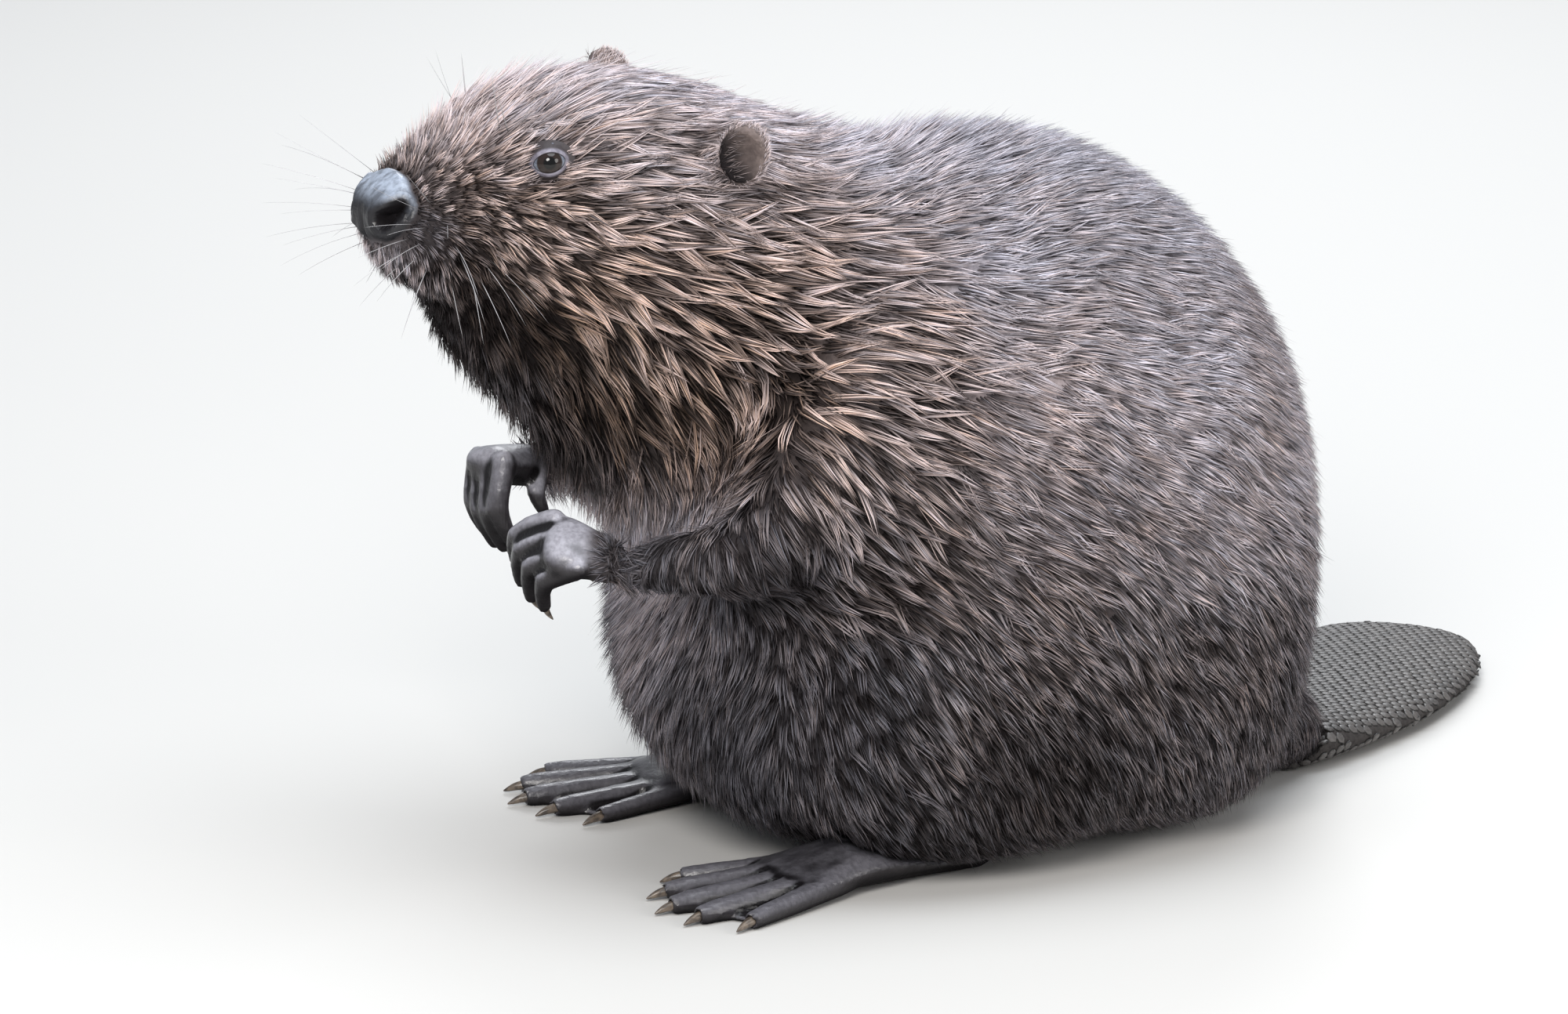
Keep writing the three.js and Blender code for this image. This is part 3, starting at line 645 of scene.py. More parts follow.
# The nose's bare skin ends raggedly: below, by height, and behind, by distance ahead, in mm.
NOSE_UNDER = (299.0, 306.0)
NOSE_BACK = (190.0, 196.0)
RAGGED = 2.5
RAG_SIZE = 12 * MM
HAND_FROM = (12.0, 22.0)


def part_shares(points):
    """For each bare kind, 1 on it and 0 on the coat's form, blended over a few mm."""
    shares = {}
    off_form = ground.read(ground.values, points)
    for kind, names in BARE.items():
        share = np.zeros(len(points))
        for name in names:
            low, high = corner_pair(name)
            close = ((points > low - PART_NEAR) & (points < high + PART_NEAR)).all(1)
            if close.any():
                off_part = np.abs(distances(tree_of(gathered([name], 0.0)), points[close]))
                lead = np.abs(off_form[close]) - off_part
                share[close] = np.maximum(share[close], ease(lead, *PART_LEAD))
        shares[kind] = share
    own = straight(points)
    ragged = RAGGED * waver(points, RAG_SIZE)
    shares["nose"] *= ease(own[:, 2] + ragged, *NOSE_UNDER) * ease(ragged - own[:, 0], *NOSE_BACK)
    shares["hand"] *= ease(off_wrists(points), *HAND_FROM)
    return shares


# ---- build

SKIN_TRIANGLES = 165_000
FACE_FINE = 15.0
FOOT_HIGH = 60 * MM
# Heights on the nose over which its painted sky reflection fades in, in mm.
NOSE_REFLECTION_FROM = (315.0, 328.0)
# Creases, and more deeply the valleys between the fingers, get painted shade.
CREASE_ROUNDS = 8
VALLEY_ROUNDS = 40
VALLEY_LIFT = 0.35


def in_dish(points):
    """How far points are from the middle of the ear's hollow: below 1 inside it."""
    return np.linalg.norm((one_side(points) - DISH) / DISH_RADII, axis=1)


def hollows(rounds):
    """How deep each of the skin's points lies below the skin smoothed by that many rounds, in mm."""
    smooth = points_of(shaped(skin_mesh, smoothing(rounds)))
    return dot(smooth - points_of(skin_mesh), normals_of(skin_mesh)) / MM


def build_skin(material):
    """The skin, thinned where the coat hides it, with its bare parts marked, painted shade in its creases,
    nostrils, mouth, ear hollows and under the hands, and painted sheen on the tops of hands and nose.
    """
    points = points_of(skin_mesh)
    shares = part_shares(points)
    measures = measures_at(points)
    own = one_side(points)
    upright = normals_of(skin_mesh)[:, 2]
    # Painted shade in creases, and deeper painted shade in the valleys between the fingers.
    hollow = hollows(CREASE_ROUNDS) * (1 - shares["hand"])
    hollow += (hollows(VALLEY_ROUNDS) + VALLEY_LIFT) * shares["hand"]
    # Painted shade in the ear's hollow, darkest at its front and bottom.
    ear_shade = shares["ear"] * (0.97 - 0.9 * ease(own[:, 0] + 0.5 * (own[:, 2] - DISH[2]), *EAR_FADE))
    # The painted sheen on faces turned up is weakened on the feet.
    foot = shares["hand"] * (points[:, 2] < FOOT_HIGH)
    # On the nose the painted reflection on faces turned up is kept above a height.
    high = 1 - shares["nose"] * (1 - ease(own[:, 2], *NOSE_REFLECTION_FROM))
    marks_and_shade = {
        **shares,
        "warm": measures[:, WARM],
        "light": measures[:, LIGHT],
        "hollow": np.clip(hollow, -1, 1.5),
        "pit_shade": np.maximum(pit_shade, ear_shade * (in_dish(points) < 1.15)),
        # Painted shade on the hands' faces turned down, and painted sheen on the faces of the hands and nose
        # turned up.
        "under": ease(-upright, -0.1, 0.7),
        "over": ease(upright, -0.05, 0.8) * (1 - 0.75 * foot) * high,
        "base": measures[:, BASE],
    }
    for kind, values in marks_and_shade.items():
        set_value(skin_mesh, kind, values)
    near_lips = np.minimum(to_line(own, LIP), to_line(own, NOSTRIL)) < FACE_FINE
    fine = np.clip(shares["nose"] + shares["hand"] + shares["ear"] + near_lips, 0, 1)
    count = len(skin_mesh.polygons) * 2
    work = linked("skin", skin_mesh)
    group = work.vertex_groups.new(name="coarse")
    group.add(np.flatnonzero(fine < 0.05).tolist(), 1.0, "REPLACE")
    thin = work.modifiers.new("thin", "DECIMATE")
    thin.vertex_group = "coarse"
    thin.ratio = min(1.0, SKIN_TRIANGLES / count)
    work.modifiers.new("triangles", "TRIANGULATE")
    o = piece("skin", settled(work), material)
    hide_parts(*MASS, *FINE)
    return o


def unwrapped(o):
    """Each corner's place on an unwrap of the skin's own shape."""
    bpy.context.view_layer.objects.active = o
    o.select_set(True)
    bpy.ops.object.mode_set(mode="EDIT")
    bpy.ops.mesh.select_all(action="SELECT")
    bpy.ops.uv.smart_project(angle_limit=1.15, island_margin=0.004)
    bpy.ops.object.mode_set(mode="OBJECT")
    layer = o.data.uv_layers.active
    spots = read_from(layer.uv, "vector", 2)
    o.data.uv_layers.remove(layer)
    return spots.reshape(-1, 3, 2).astype(float)


class Hide:
    """The skin as the coat's roots see it: where it is, how bare, and its unwrap."""

    def __init__(self, o):
        me = o.data
        self.points = points_of(me)
        self.normals = normals_of(me)
        self.corners = corners_of(me)
        self.tree = tree_of(me)
        self.spots = unwrapped(o)
        self.bare = np.max([value_of(me, name) for name in BARE], axis=0)
        self.ear = value_of(me, "ear")

    def sample(self, weight_of):
        """Evenly spread places: equal steps along the running sum of weight, faces in a spatial order."""
        a, b, c = (self.points[self.corners[:, i]] for i in range(3))
        area = np.linalg.norm(np.cross(b - a, c - a), axis=1) / 2
        middle = (a + b + c) / 3
        order = np.argsort(weave(middle))
        total = np.cumsum((area * weight_of(middle, self.corners))[order])
        number = int(total[-1])
        steps = (np.arange(number) + chance.random(number)) / number * total[-1]
        face = order[np.searchsorted(total, steps).clip(0, len(order) - 1)]
        u, v = chance.random((2, number))
        over = u + v > 1
        u[over], v[over] = 1 - u[over], 1 - v[over]
        share = np.stack([1 - u - v, u, v], -1)
        corners = self.corners[face]
        place = (self.points[corners] * share[..., None]).sum(1)
        return place, unit((self.normals[corners] * share[..., None]).sum(1))

    def nearest(self, points):
        """The skin's nearest places to points: where, how bare, and where on the unwrap."""
        found = [self.tree.find_nearest(Vector(p)) for p in points]
        at = np.array([f[0] for f in found])
        face = np.array([f[2] for f in found])
        a, b, c = (self.points[self.corners[face, i]] for i in range(3))
        whole = np.cross(b - a, c - a)
        size = np.maximum(dot(whole, whole), 1e-24)
        second = dot(np.cross(at - a, c - a), whole) / size
        third = dot(np.cross(b - a, at - a), whole) / size
        share = np.stack([1 - second - third, second, third], -1).clip(0, 1)
        bare = (self.bare[self.corners[face]] * share).sum(1)
        return at, bare, (self.spots[face] * share[..., None]).sum(1)


WEAVE_CELL = 3 * MM


def weave(points):
    """A Morton number: the bits of x, y and z in turn, which keeps neighbours together."""
    cell = ((points - points.min(0)) / WEAVE_CELL).astype(np.int64)
    code = np.zeros(len(points), np.int64)
    for bit in range(9):
        for axis in range(3):
            code |= ((cell[:, axis] >> bit) & 1) << (3 * bit + axis)
    return code


WAVES = unit(chance.normal(size=(4, 3)))
PHASES = chance.uniform(0, 2 * math.pi, 4)


def waver(points, wavelength):
    """A smooth number between -1 and 1: the mean of four sine waves in chance directions."""
    return np.sin(points @ WAVES.T * (2 * math.pi / wavelength) + PHASES).mean(1)


def laid(way, up):
    """Vectors less the part that stands along up."""
    return way - up * dot(way, up)[:, None]


def streamlines(start, length, shares, turn):
    """Ground points along the lie of the coat from start, at each share of the length.

    Each step goes along the station field laid on the surface, then back onto it.
    """
    at = start
    lines = [start]
    for before, after in zip(shares[:-1], shares[1:]):
        up = ground.up(at)
        way = unit(laid(way_at(at), up))
        way = way * np.cos(turn)[:, None] + np.cross(up, way) * np.sin(turn)[:, None]
        at = ground.onto(at + way * (length * (after - before))[:, None])
        lines.append(at)
    return np.stack(lines, 1)


PATCH = 3 * MM
PIECE_TRIANGLES = 190_000
HAIR_OFF_FLOOR = 0.5 * MM
NARROWED = 0.75
LOWERED = 0.6
RIDGE = 0.33


def strands(name, lines, ups, shares, width, roll, tones, spots, material):
    """Closed three-sided blades along lines (n, k, 3), the last point their tip, joined in pieces.

    Ring i has a left edge, a ridge and a right edge, half a width to each side
    and a third of it above; both shrink towards the tip. In the OFBake map a
    blade is a patch at its root's place, its three sides next to each other.
    """
    n, k, _ = lines.shape
    forward = unit(np.gradient(lines, axis=1))
    side = unit(np.cross(forward, ups))
    over = np.cross(side, forward)
    turn = roll[:, None, None]
    side, over = side * np.cos(turn) + over * np.sin(turn), over * np.cos(turn) - side * np.sin(turn)
    ring = lines[:, :-1]
    thin = np.asarray(shares)[None, :-1]
    half = (width[:, None] * (1 - NARROWED * thin**1.5) / 2)[..., None]
    tall = (width[:, None] * (1 - LOWERED * thin) * RIDGE)[..., None]
    body = np.stack([ring - side[:, :-1] * half, ring + over[:, :-1] * tall, ring + side[:, :-1] * half], 2)
    points = np.concatenate([body.reshape(n, -1, 3), lines[:, -1:]], 1)
    points[..., 2] = np.maximum(points[..., 2], HAIR_OFF_FLOOR)
    per = points.shape[1]
    rows = np.arange(k - 2)[:, None, None]
    quads = (rows * 3 + np.array([[0, 1, 4, 3], [1, 2, 5, 4], [2, 0, 3, 5]])[None]).reshape(-1, 4)
    last = 3 * (k - 2)
    tip = per - 1
    tris = np.array([[last, last + 1, tip], [last + 1, last + 2, tip], [last + 2, last, tip], [0, 2, 1]])
    columns = np.array([[0, 1, 1, 0], [1, 2, 2, 1], [2, 3, 3, 2]]) / 3
    quad_across = np.tile(columns, (k - 2, 1))
    quad_along = np.asarray(shares)[quads // 3]
    reach = np.concatenate([np.repeat(shares[:-1], 3), [1.0]])
    tri_across = np.array([[0, 1, 0.5], [1, 2, 1.5], [2, 3, 2.5], [0, 3, 1.5]]) / 3
    tri_along = np.concatenate([reach[tris[:3]], [[-0.2, -0.2, -0.05]]])
    quad_map = np.stack([quad_across, quad_along], -1) - 0.5
    tri_map = np.stack([tri_across, tri_along], -1) - 0.5
    count = n * (2 * len(quads) + len(tris))
    pieces = math.ceil(count / PIECE_TRIANGLES)
    ends = np.linspace(0, n, pieces + 1).astype(int)
    for i, (a, b) in enumerate(zip(ends[:-1], ends[1:])):
        label = name if pieces == 1 else f"{name}_{i + 1}"
        me = mesh_of(label, points[a:b].reshape(-1, 3), *tiled([quads, tris], b - a))
        for key, values in tones.items():
            set_value(me, key, np.repeat(values[a:b], per))
        set_value(me, "reach", np.tile(reach, b - a))
        root = spots[a:b, None, None, :]
        flat = [(root + PATCH * part).reshape(-1, 2) for part in (quad_map, tri_map)]
        layer = me.uv_layers.new(name="OFBake", do_init=False)
        layer.uv.foreach_set("vector", np.concatenate(flat).astype(np.float32).ravel())
        piece(label, me, material)


EYE_NEAR = 20.0


def over_eyes(points):
    """Which of the points (n, k, 3) lie over an eye's opening, an ellipse about its axis."""
    found = np.zeros(points.shape[:2], bool)
    for side in SIDES:
        forward, up, out = eye_sight(side, points)
        inside = (forward + 0.6) ** 2 / 8.0**2 + (up + 0.9) ** 2 / 4.3**2 < 1
        found |= (out > 0) & (out < EYE_NEAR) & inside
    return found


# Each layer of the coat: its share of the strands, how many make a lock, then
# factors on length, breadth, depth, wetness and the lock's half width.
UNDER_FRONT = (0.44, 5, 0.58, 1.5, 0.45, 0.4, 1.9)
UNDER_BACK = (0.22, 5, 0.62, 1.4, 0.45, 0.5, 1.0)
OUTER_FRONT = (0.56, 8, 1.0, 1.15, 1.0, 1.0, 1.0)
OUTER_BACK = (0.72, 5, 1.0, 1.1, 1.0, 1.0, 1.0)
FRONT_END = 25.0

# In mm: how deep a root sits, how far the rest is clear of the form, and the bare lips' half width.
ROOT_SUNK = 0.8
CLEAR = 0.4
LIP_BARE = 4.6

# Shares: duller locks and strands, strays and how they rise, how nearly a wet lock's tips meet,
# and what is left of a strand's length at an eye. Then the wavelengths of the coat's drift.
DULL_LOCKS = 0.25
DULL_FRONT = 0.22
DULL_BACK = 0.40
STRAYS = 0.04
STRAY_RISE = 0.22
GATHERED = 0.97
CUT_AT_EYES = 0.4
DRIFTS = ((0.07, 0.22), (0.021, 0.16))


def coat_layer(name, hide, layer, front, shares, material):
    """A layer of locks on the front or the back of the body.

    Every lock follows a line laid on the body; its strands start beside it and
    draw together towards its tip by the coat's wetness, then rise to its depth.
    """
    share, per_lock, longer, wider, deeper, wetter, spread = layer
    shares = np.array(shares)

    def weight(middle, corners):
        here = (straight(middle)[:, 0] < FRONT_END) == front
        number = measures_at(middle)[:, THICK] * CM2_IN_M2 * share / per_lock
        return number * here * (1 - hide.bare[corners].max(1))

    lock_root, lock_up = hide.sample(weight)
    n = len(lock_root)
    lock = measures_at(lock_root)
    wet = (lock[:, WET] * wetter).clip(0, 1)
    drift = sum(waver(lock_root, wavelength) * size for wavelength, size in DRIFTS)
    lock_turn = drift + chance.normal(0, 0.08 + 0.14 * wet, n)
    lock_long = lock[:, LONG] * MM * longer * chance.uniform(0.75, 1.2, n)
    lock_line = streamlines(ground.onto(lock_root), lock_long, shares, lock_turn)
    lock_bright = chance.normal(1.0, 0.14, n)
    lock_bright *= np.where(chance.random(n) < DULL_LOCKS, 0.35 + 0.6 * lock[:, BASE], 1)

    own = np.repeat(np.arange(n), per_lock)
    m = len(own)
    get = lock[own]
    wet = wet[own]
    way = unit(lock_line[own, 1] - lock_line[own, 0])
    side = unit(np.cross(way, lock_up[own]))
    out = np.tile(np.linspace(-1, 1, per_lock), n) + chance.uniform(-0.25, 0.25, m)
    back = chance.uniform(-1.2, 0.3, m)
    half = get[:, LOCK] * spread * MM
    root = lock_root[own] + side * (out * half)[:, None] + way * (back * half)[:, None]
    root, bare, spots = hide.nearest(root)
    long = lock_long[own] * chance.uniform(0.8, 1.1, m) - back * half * 0.7
    stray = chance.random(m) < STRAYS
    turn = lock_turn[own] + chance.normal(0, 1, m) * (0.06 + 0.9 * get[:, STAND] ** 2)
    line = streamlines(root, long, shares, turn)
    pull = (shares**0.85)[None] * (GATHERED * wet * ~stray)[:, None]
    tip = lock_line[own] + (side * (out * 0.03 * half)[:, None])[:, None]
    line = line + (tip - line) * pull[..., None]
    for _ in range(2):
        line[:, 1:-1] = (line[:, :-2] + 2 * line[:, 1:-1] + line[:, 2:]) / 4
    short = over_eyes(line).any(1)
    line[short] = root[short, None] + (line[short] - root[short, None]) * CUT_AT_EYES
    keep = ~over_eyes(line).any(1) & (bare < 0.5) & (to_line(one_side(root), LIP) > LIP_BARE)

    ups = np.stack([ground.up(line[:, i]) for i in range(len(shares))], 1)
    deep = get[:, DEEP] * MM * deeper * chance.uniform(0.75, 1.1, m)
    deep = np.where(short, deep * 0.5, deep)
    rise = (shares**0.75)[None] * deep[:, None] * 0.9
    stand = get[:, STAND] * longer * chance.uniform(0.2, 1.4, m) + stray * STRAY_RISE
    rise = rise + (shares**2)[None] * (stand * long)[:, None] * np.where(short, 0.3, 1)[:, None]
    rise[:, 0] -= ROOT_SUNK * MM
    rise[:, 1:] += CLEAR * MM
    line = line + ups * rise[..., None]
    width = get[:, WIDE] * MM * wider * chance.uniform(0.6, 1.35, m) * np.where(stray, 0.5, 1)
    width *= np.where(short, 0.6, 1)
    dull = chance.random(m) < (DULL_FRONT if front else DULL_BACK)
    pale = np.where(dull, 0.2 + 0.8 * get[:, BASE], 1.0)
    light = get[:, LIGHT] * lock_bright[own] * pale * chance.uniform(0.85, 1.15, m)
    if longer < 1:
        light *= 0.2 + get[:, BASE]
    tones = {
        "base": get[:, BASE],
        "warm": get[:, WARM] + chance.normal(0, 0.10, m) + waver(root, 0.05) * 0.08,
        "light": light,
        "chance": chance.random(m),
    }
    tones = {key: values[keep] for key, values in tones.items()}
    roll = chance.normal(0, 0.3, m)[keep]
    strands(name, line[keep], ups[keep], shares, width[keep], roll, tones, spots[keep], material)


DOWN_DROOP = 0.15
DOWN_SUNK = 0.3


def down(name, hide, where, number, length, breadth, lean, light, warm, way, material):
    """Short straight hairs on bare parts: a strand of three points leaning along way off the skin."""

    def weight(middle, corners):
        return number * CM2_IN_M2 * where(middle, corners)

    root, up = hide.sample(weight)
    m = len(root)
    _, _, spots = hide.nearest(root)
    along = way(root)
    along = unit(laid(along, up) + chance.normal(0, 0.25, (m, 3)))
    long = length * MM * chance.uniform(0.6, 1.25, m)
    steps = np.array([0.0, 0.5, 1.0])
    path = unit(along + up * lean)[:, None] * steps[None, :, None]
    path = path - up[:, None] * (steps**2)[None, :, None] * DOWN_DROOP
    line = root[:, None] - up[:, None] * DOWN_SUNK * MM + path * long[:, None, None]
    tones = {
        "base": np.full(m, 0.2),
        "warm": warm + chance.uniform(-0.1, 0.2, m),
        "light": light * chance.uniform(0.6, 1.3, m),
        "chance": chance.random(m),
    }
    ups = np.repeat(up[:, None], 3, axis=1)
    width = breadth * MM * chance.uniform(0.7, 1.2, m)
    strands(name, line, ups, steps, width, chance.normal(0, 0.3, m), tones, spots, material)


def ear_hair(hide, material):
    """Short hair over the ears and their rims, a lining inside, and longer tufts in front."""

    def where(middle, corners):
        return (hide.ear[corners].min(1) > 0.6) * (in_dish(middle) > 1.13)

    def way(root):
        return np.tile([0.5, 0.0, 0.85], (len(root), 1))

    def in_front(middle, corners):
        gap = in_dish(middle)
        return (straight(middle)[:, 0] < DISH[0] - 4) * (gap > 0.95) * (gap < 2.1)

    def backward(root):
        return np.tile([0.9, 0.1, 0.25], (len(root), 1))

    def inside(middle, corners):
        front = straight(middle)[:, 0] < DISH[0] + 2
        return (hide.ear[corners].min(1) > 0.5) * (in_dish(middle) < 1.13) * front

    down("ear_lining", hide, inside, 60, 8.0, 0.38, 0.45, 0.35, 0.3, backward, material)
    down("ear_hair", hide, where, 110, 4.4, 0.42, 0.45, 1.0, 0.3, way, material)
    down("ear_tufts", hide, in_front, 110, 14.0, 0.6, 0.35, 0.8, 0.3, backward, material)


def lid_hair(hide, material):
    """Short hair on the lids."""

    def where(middle, corners):
        found = np.zeros(len(middle), bool)
        for side in SIDES:
            forward, up, out = eye_sight(side, middle)
            size = np.hypot(forward / LID_WIDE, up / LID_HIGH)
            found |= (out > 0) & (out < EYE_NEAR) & (size > 1.4) & (size < 2.5)
        return found

    down("lid_hair", hide, where, 150, 4.2, 0.38, 0.95, 0.7, 0.3, way_at, material)


CUFF_REACH = 20.0
CUFF_END = 4.0


def cuffs(hide, material):
    """Sleek hair over the wrists, lying toward the hands."""
    toward = np.array([unit(centre_of(f"hand_{side}") - centre_of(f"forearm_{side}")) for side in SIDES])

    def way(root):
        return toward[np.linalg.norm(root[:, None] - np.array(WRISTS), axis=2).argmin(1)]

    def where(middle, corners):
        gap = middle[:, None] - np.array(WRISTS)
        near = np.linalg.norm(gap, axis=2).argmin(1)
        along = dot(gap[np.arange(len(gap)), near], toward[near]) / MM
        return (off_wrists(middle) < CUFF_REACH) * (along < CUFF_END)

    down("cuffs", hide, where, 110, 10.0, 0.7, 0.22, 0.26, 0.0, way, material)


# Whiskers on the left of the straight head: root, direction, length and droop in mm.
WHISKERS = [
    ((-192, 22, 318), (-0.80, 0.42, 0.42), 52, -2), ((-190, 25, 322), (-0.62, 0.55, 0.56), 48, 0),
    ((-195, 22, 313), (-0.88, 0.40, 0.24), 50, 2), ((-192, 26, 312), (-0.74, 0.60, 0.28), 56, 4),
    ((-197, 21, 307), (-0.93, 0.36, 0.05), 44, 3), ((-194, 26, 306), (-0.80, 0.58, 0.10), 54, 5),
    ((-198, 19, 301), (-0.92, 0.34, -0.12), 40, 4), ((-195, 25, 300), (-0.80, 0.57, -0.08), 50, 6),
    ((-198, 16, 295), (-0.88, 0.30, -0.34), 32, 4), ((-192, 27, 295), (-0.66, 0.66, -0.30), 44, 8),
    ((-186, 32, 314), (-0.45, 0.80, 0.32), 60, 8), ((-184, 34, 306), (-0.30, 0.92, 0.10), 58, 12),
    ((-181, 36, 300), (-0.15, 0.90, -0.35), 40, 8), ((-178, 38, 296), (0.10, 0.75, -0.62), 36, 5),
    ((-174, 40, 298), (0.35, 0.66, -0.62), 34, 6), ((-170, 41, 299), (0.55, 0.60, -0.55), 36, 7),
    ((-176, 37, 291), (-0.10, 0.55, -0.80), 32, 0), ((-184, 30, 288), (-0.05, 0.50, -0.85), 30, -3),
    ((-158, 24, 356), (-0.30, 0.20, 0.90), 27, -3), ((-155, 27, 355), (-0.45, 0.35, 0.80), 26, -2),
    ((-149, 27, 356), (0.10, 0.40, 0.88), 24, 3),
]
NOSE_TIP = -212.0
WHISKER_LIMIT = 19.0
WHISKER_POINTS = 8
WHISKER_WIDTH = 0.55 * MM


def build_whiskers(hide, material):
    """Stiff hairs: each a line root + way L t with its tip dropped by droop t^2, kept near the head."""
    steps = np.linspace(0, 1, WHISKER_POINTS)
    lines = []
    for mirror in (-1, 1):
        for root, way, length, droop in WHISKERS:
            way = unit(np.array(way, float))
            length = length * chance.uniform(0.9, 1.05)
            ahead = NOSE_TIP - WHISKER_LIMIT - root[0]
            if way[0] < -0.3:
                length = min(length, ahead / way[0])
            line = np.array(root, float) + way * length * steps[:, None]
            line[:, 2] -= droop * steps**2
            line[:, 1] *= -mirror
            lines.append(placed(line))
    lines = np.stack(lines)
    root, _, spots = hide.nearest(lines[:, 0])
    lines += (root - lines[:, 0])[:, None]
    n = len(lines)
    ups = np.tile([0.0, 0.0, 1.0], (n, WHISKER_POINTS, 1))
    tones = {
        "warm": np.full(n, 0.15),
        "light": chance.uniform(0.7, 1.2, n),
        "chance": chance.random(n),
    }
    strands("whiskers", lines, ups, steps, np.full(n, WHISKER_WIDTH), np.zeros(n), tones, spots, material)


def build_claws(material):
    """The claws, rounded and joined, in place of the plain ones."""
    names = [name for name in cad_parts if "claw" in name]
    me = gathered(names, 0.0, ("SUBSURF", {"levels": 2, "render_levels": 2}))
    o = piece("claws", me, material)
    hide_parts(*names)


SCALE_ALONG = 4.4 * MM
SCALE_ACROSS = 5.0 * MM
SCALE_HIGH = 0.7 * MM
SCALE_RINGS = ((0.60, -0.4), (0.585, 0.35), (0.42, 0.95))


def build_scales(hide, material):
    """Six-sided scales in offset rows over and under the tail, each tipped so its free edge lifts.

    A scale is three rings of six: a foot under the skin, an edge and a shoulder, and a middle.
    """
    spots = points_of(gathered(["tail"], 0.0))
    middle = spots.mean(0)
    _, _, axes = np.linalg.svd(spots[:, :2] - middle[:2], full_matrices=False)
    along = np.array([*axes[0], 0.0])
    along *= math.copysign(1.0, (spots.mean(0) - centre_of("tail_root")) @ along)
    across = np.cross([0.0, 0.0, 1.0], along)
    reach = (spots - middle) @ along
    breadth = np.abs((spots - middle) @ across).max()
    rows = np.arange(reach.min(), reach.max(), SCALE_ALONG)
    columns = np.arange(-breadth, breadth, SCALE_ACROSS)
    row, column = np.meshgrid(np.arange(len(rows)), np.arange(len(columns)), indexing="ij")
    across_at = columns[column] + (row % 2) * SCALE_ACROSS / 2
    at = middle + rows[row][..., None] * along + across_at[..., None] * across
    at = at.reshape(-1, 3) + chance.normal(0, 0.2 * MM, (row.size, 3))
    scale = value_of(skin.data, "scale")
    found = []
    for facing in (1.0, -1.0):
        for p in at:
            start = Vector((p[0], p[1], 0.5 * facing))
            hit, normal, face, _ = hide.tree.ray_cast(start, Vector((0, 0, -facing)))
            if hit is not None and scale[hide.corners[face]].min() > 0.7 and normal.z * facing > 0.45:
                found.append((*hit, *normal))
    found = np.array(found)
    root, up = found[:, :3], unit(found[:, 3:])
    n = len(root)
    forward = unit(along - up * (up @ along)[:, None])
    side = np.cross(up, forward)
    up = unit(up - forward * 0.12)
    angle = np.arange(6) * math.pi / 3 + math.pi / 6
    rings = []
    for size, level in SCALE_RINGS:
        flat_along = np.cos(angle) * SCALE_ALONG * size * 1.12
        flat_across = np.sin(angle) * SCALE_ACROSS * size
        ring = root[:, None] + forward[:, None] * flat_along[None, :, None]
        ring = ring + side[:, None] * flat_across[None, :, None] + up[:, None] * level * SCALE_HIGH
        rings.append(ring)
    points = np.concatenate([*rings, (root + up * 1.1 * SCALE_HIGH)[:, None]], 1)
    points[..., 2] = np.maximum(points[..., 2], SKIN_OFF_FLOOR)
    i = np.arange(6)
    j = (i + 1) % 6
    quads = np.concatenate([np.stack([i + a, j + a, j + a + 6, i + a + 6], -1) for a in (0, 6)])
    foot = [[0, k + 1, k] for k in range(1, 5)]
    tris = np.concatenate([np.stack([i + 12, j + 12, np.full(6, 18)], -1), foot])
    me = mesh_of("scales", points.reshape(-1, 3), *tiled([quads, tris], n))
    edge = np.concatenate([np.full(6, 1.0), np.full(6, 0.9), np.full(6, 0.25), [0.0]])
    set_value(me, "edge", np.tile(edge, n))
    set_value(me, "chance", np.repeat(chance.random(n), len(edge)))
    piece("scales", me, material)


# ---- materials


def new_material(name):
    material = bpy.data.materials.new(name)
    material.use_nodes = True
    return material, material.node_tree


def dressed(material, **values):
    """The material with numbers, colours or sockets on its shader, by label with _ for a space."""
    tree = material.node_tree
    for label, value in values.items():
        put(tree, tree.nodes["Principled BSDF"].inputs[label.replace("_", " ")], value)
    return material


def put(tree, socket, value):
    """Links a socket, or sets a number, a vector or a colour."""
    if isinstance(value, bpy.types.NodeSocket):
        tree.links.new(value, socket)
    else:
        socket.default_value = (*value, 1.0) if socket.type == "RGBA" else value


def node(tree, kind, inputs, output=0, **settings):
    """One of the outputs of a new shader node with these settings and inputs."""
    made = tree.nodes.new("ShaderNode" + kind)
    for key, value in settings.items():
        setattr(made, key, value)
    for key, value in inputs.items():
        put(tree, made.inputs[key], value)
    return made.outputs[output]


def attribute(tree, name):
    return node(tree, "Attribute", {}, "Fac", attribute_name=name)


def mixed(tree, share, low, high):
    """A colour between two."""
    return node(tree, "Mix", {0: share, 6: low, 7: high}, 2, data_type="RGBA")


def maths(tree, operation, a, b=0.0):
    return node(tree, "Math", {0: a, 1: b}, operation=operation)


def noise(tree, scale, detail, stretch=(1, 1, 1)):
    """Noise over the object's own coordinates, from 0 to 1."""
    place = node(tree, "TexCoord", {}, "Object")
    spread = node(tree, "Mapping", {"Vector": place, "Scale": stretch}, "Vector")
    return node(tree, "TexNoise", {"Vector": spread, "Scale": scale, "Detail": detail}, "Fac")


def bump(tree, height, distance, strength=1.0):
    return node(tree, "Bump", {"Strength": strength, "Distance": distance, "Height": height}, "Normal")


def smoothly(tree, value, low, high):
    """Smooth step of a number from low to high."""
    limits = {"Value": value, "From Min": low, "From Max": high}
    return node(tree, "MapRange", limits, "Result", interpolation_type="SMOOTHSTEP")


# The grey tips' blue tint is a painted sky reflection.
GREY_TIP = (0.68, 0.67, 0.77)
TAWNY_TIP = (0.86, 0.58, 0.43)
ROOT = (0.008, 0.006, 0.006)


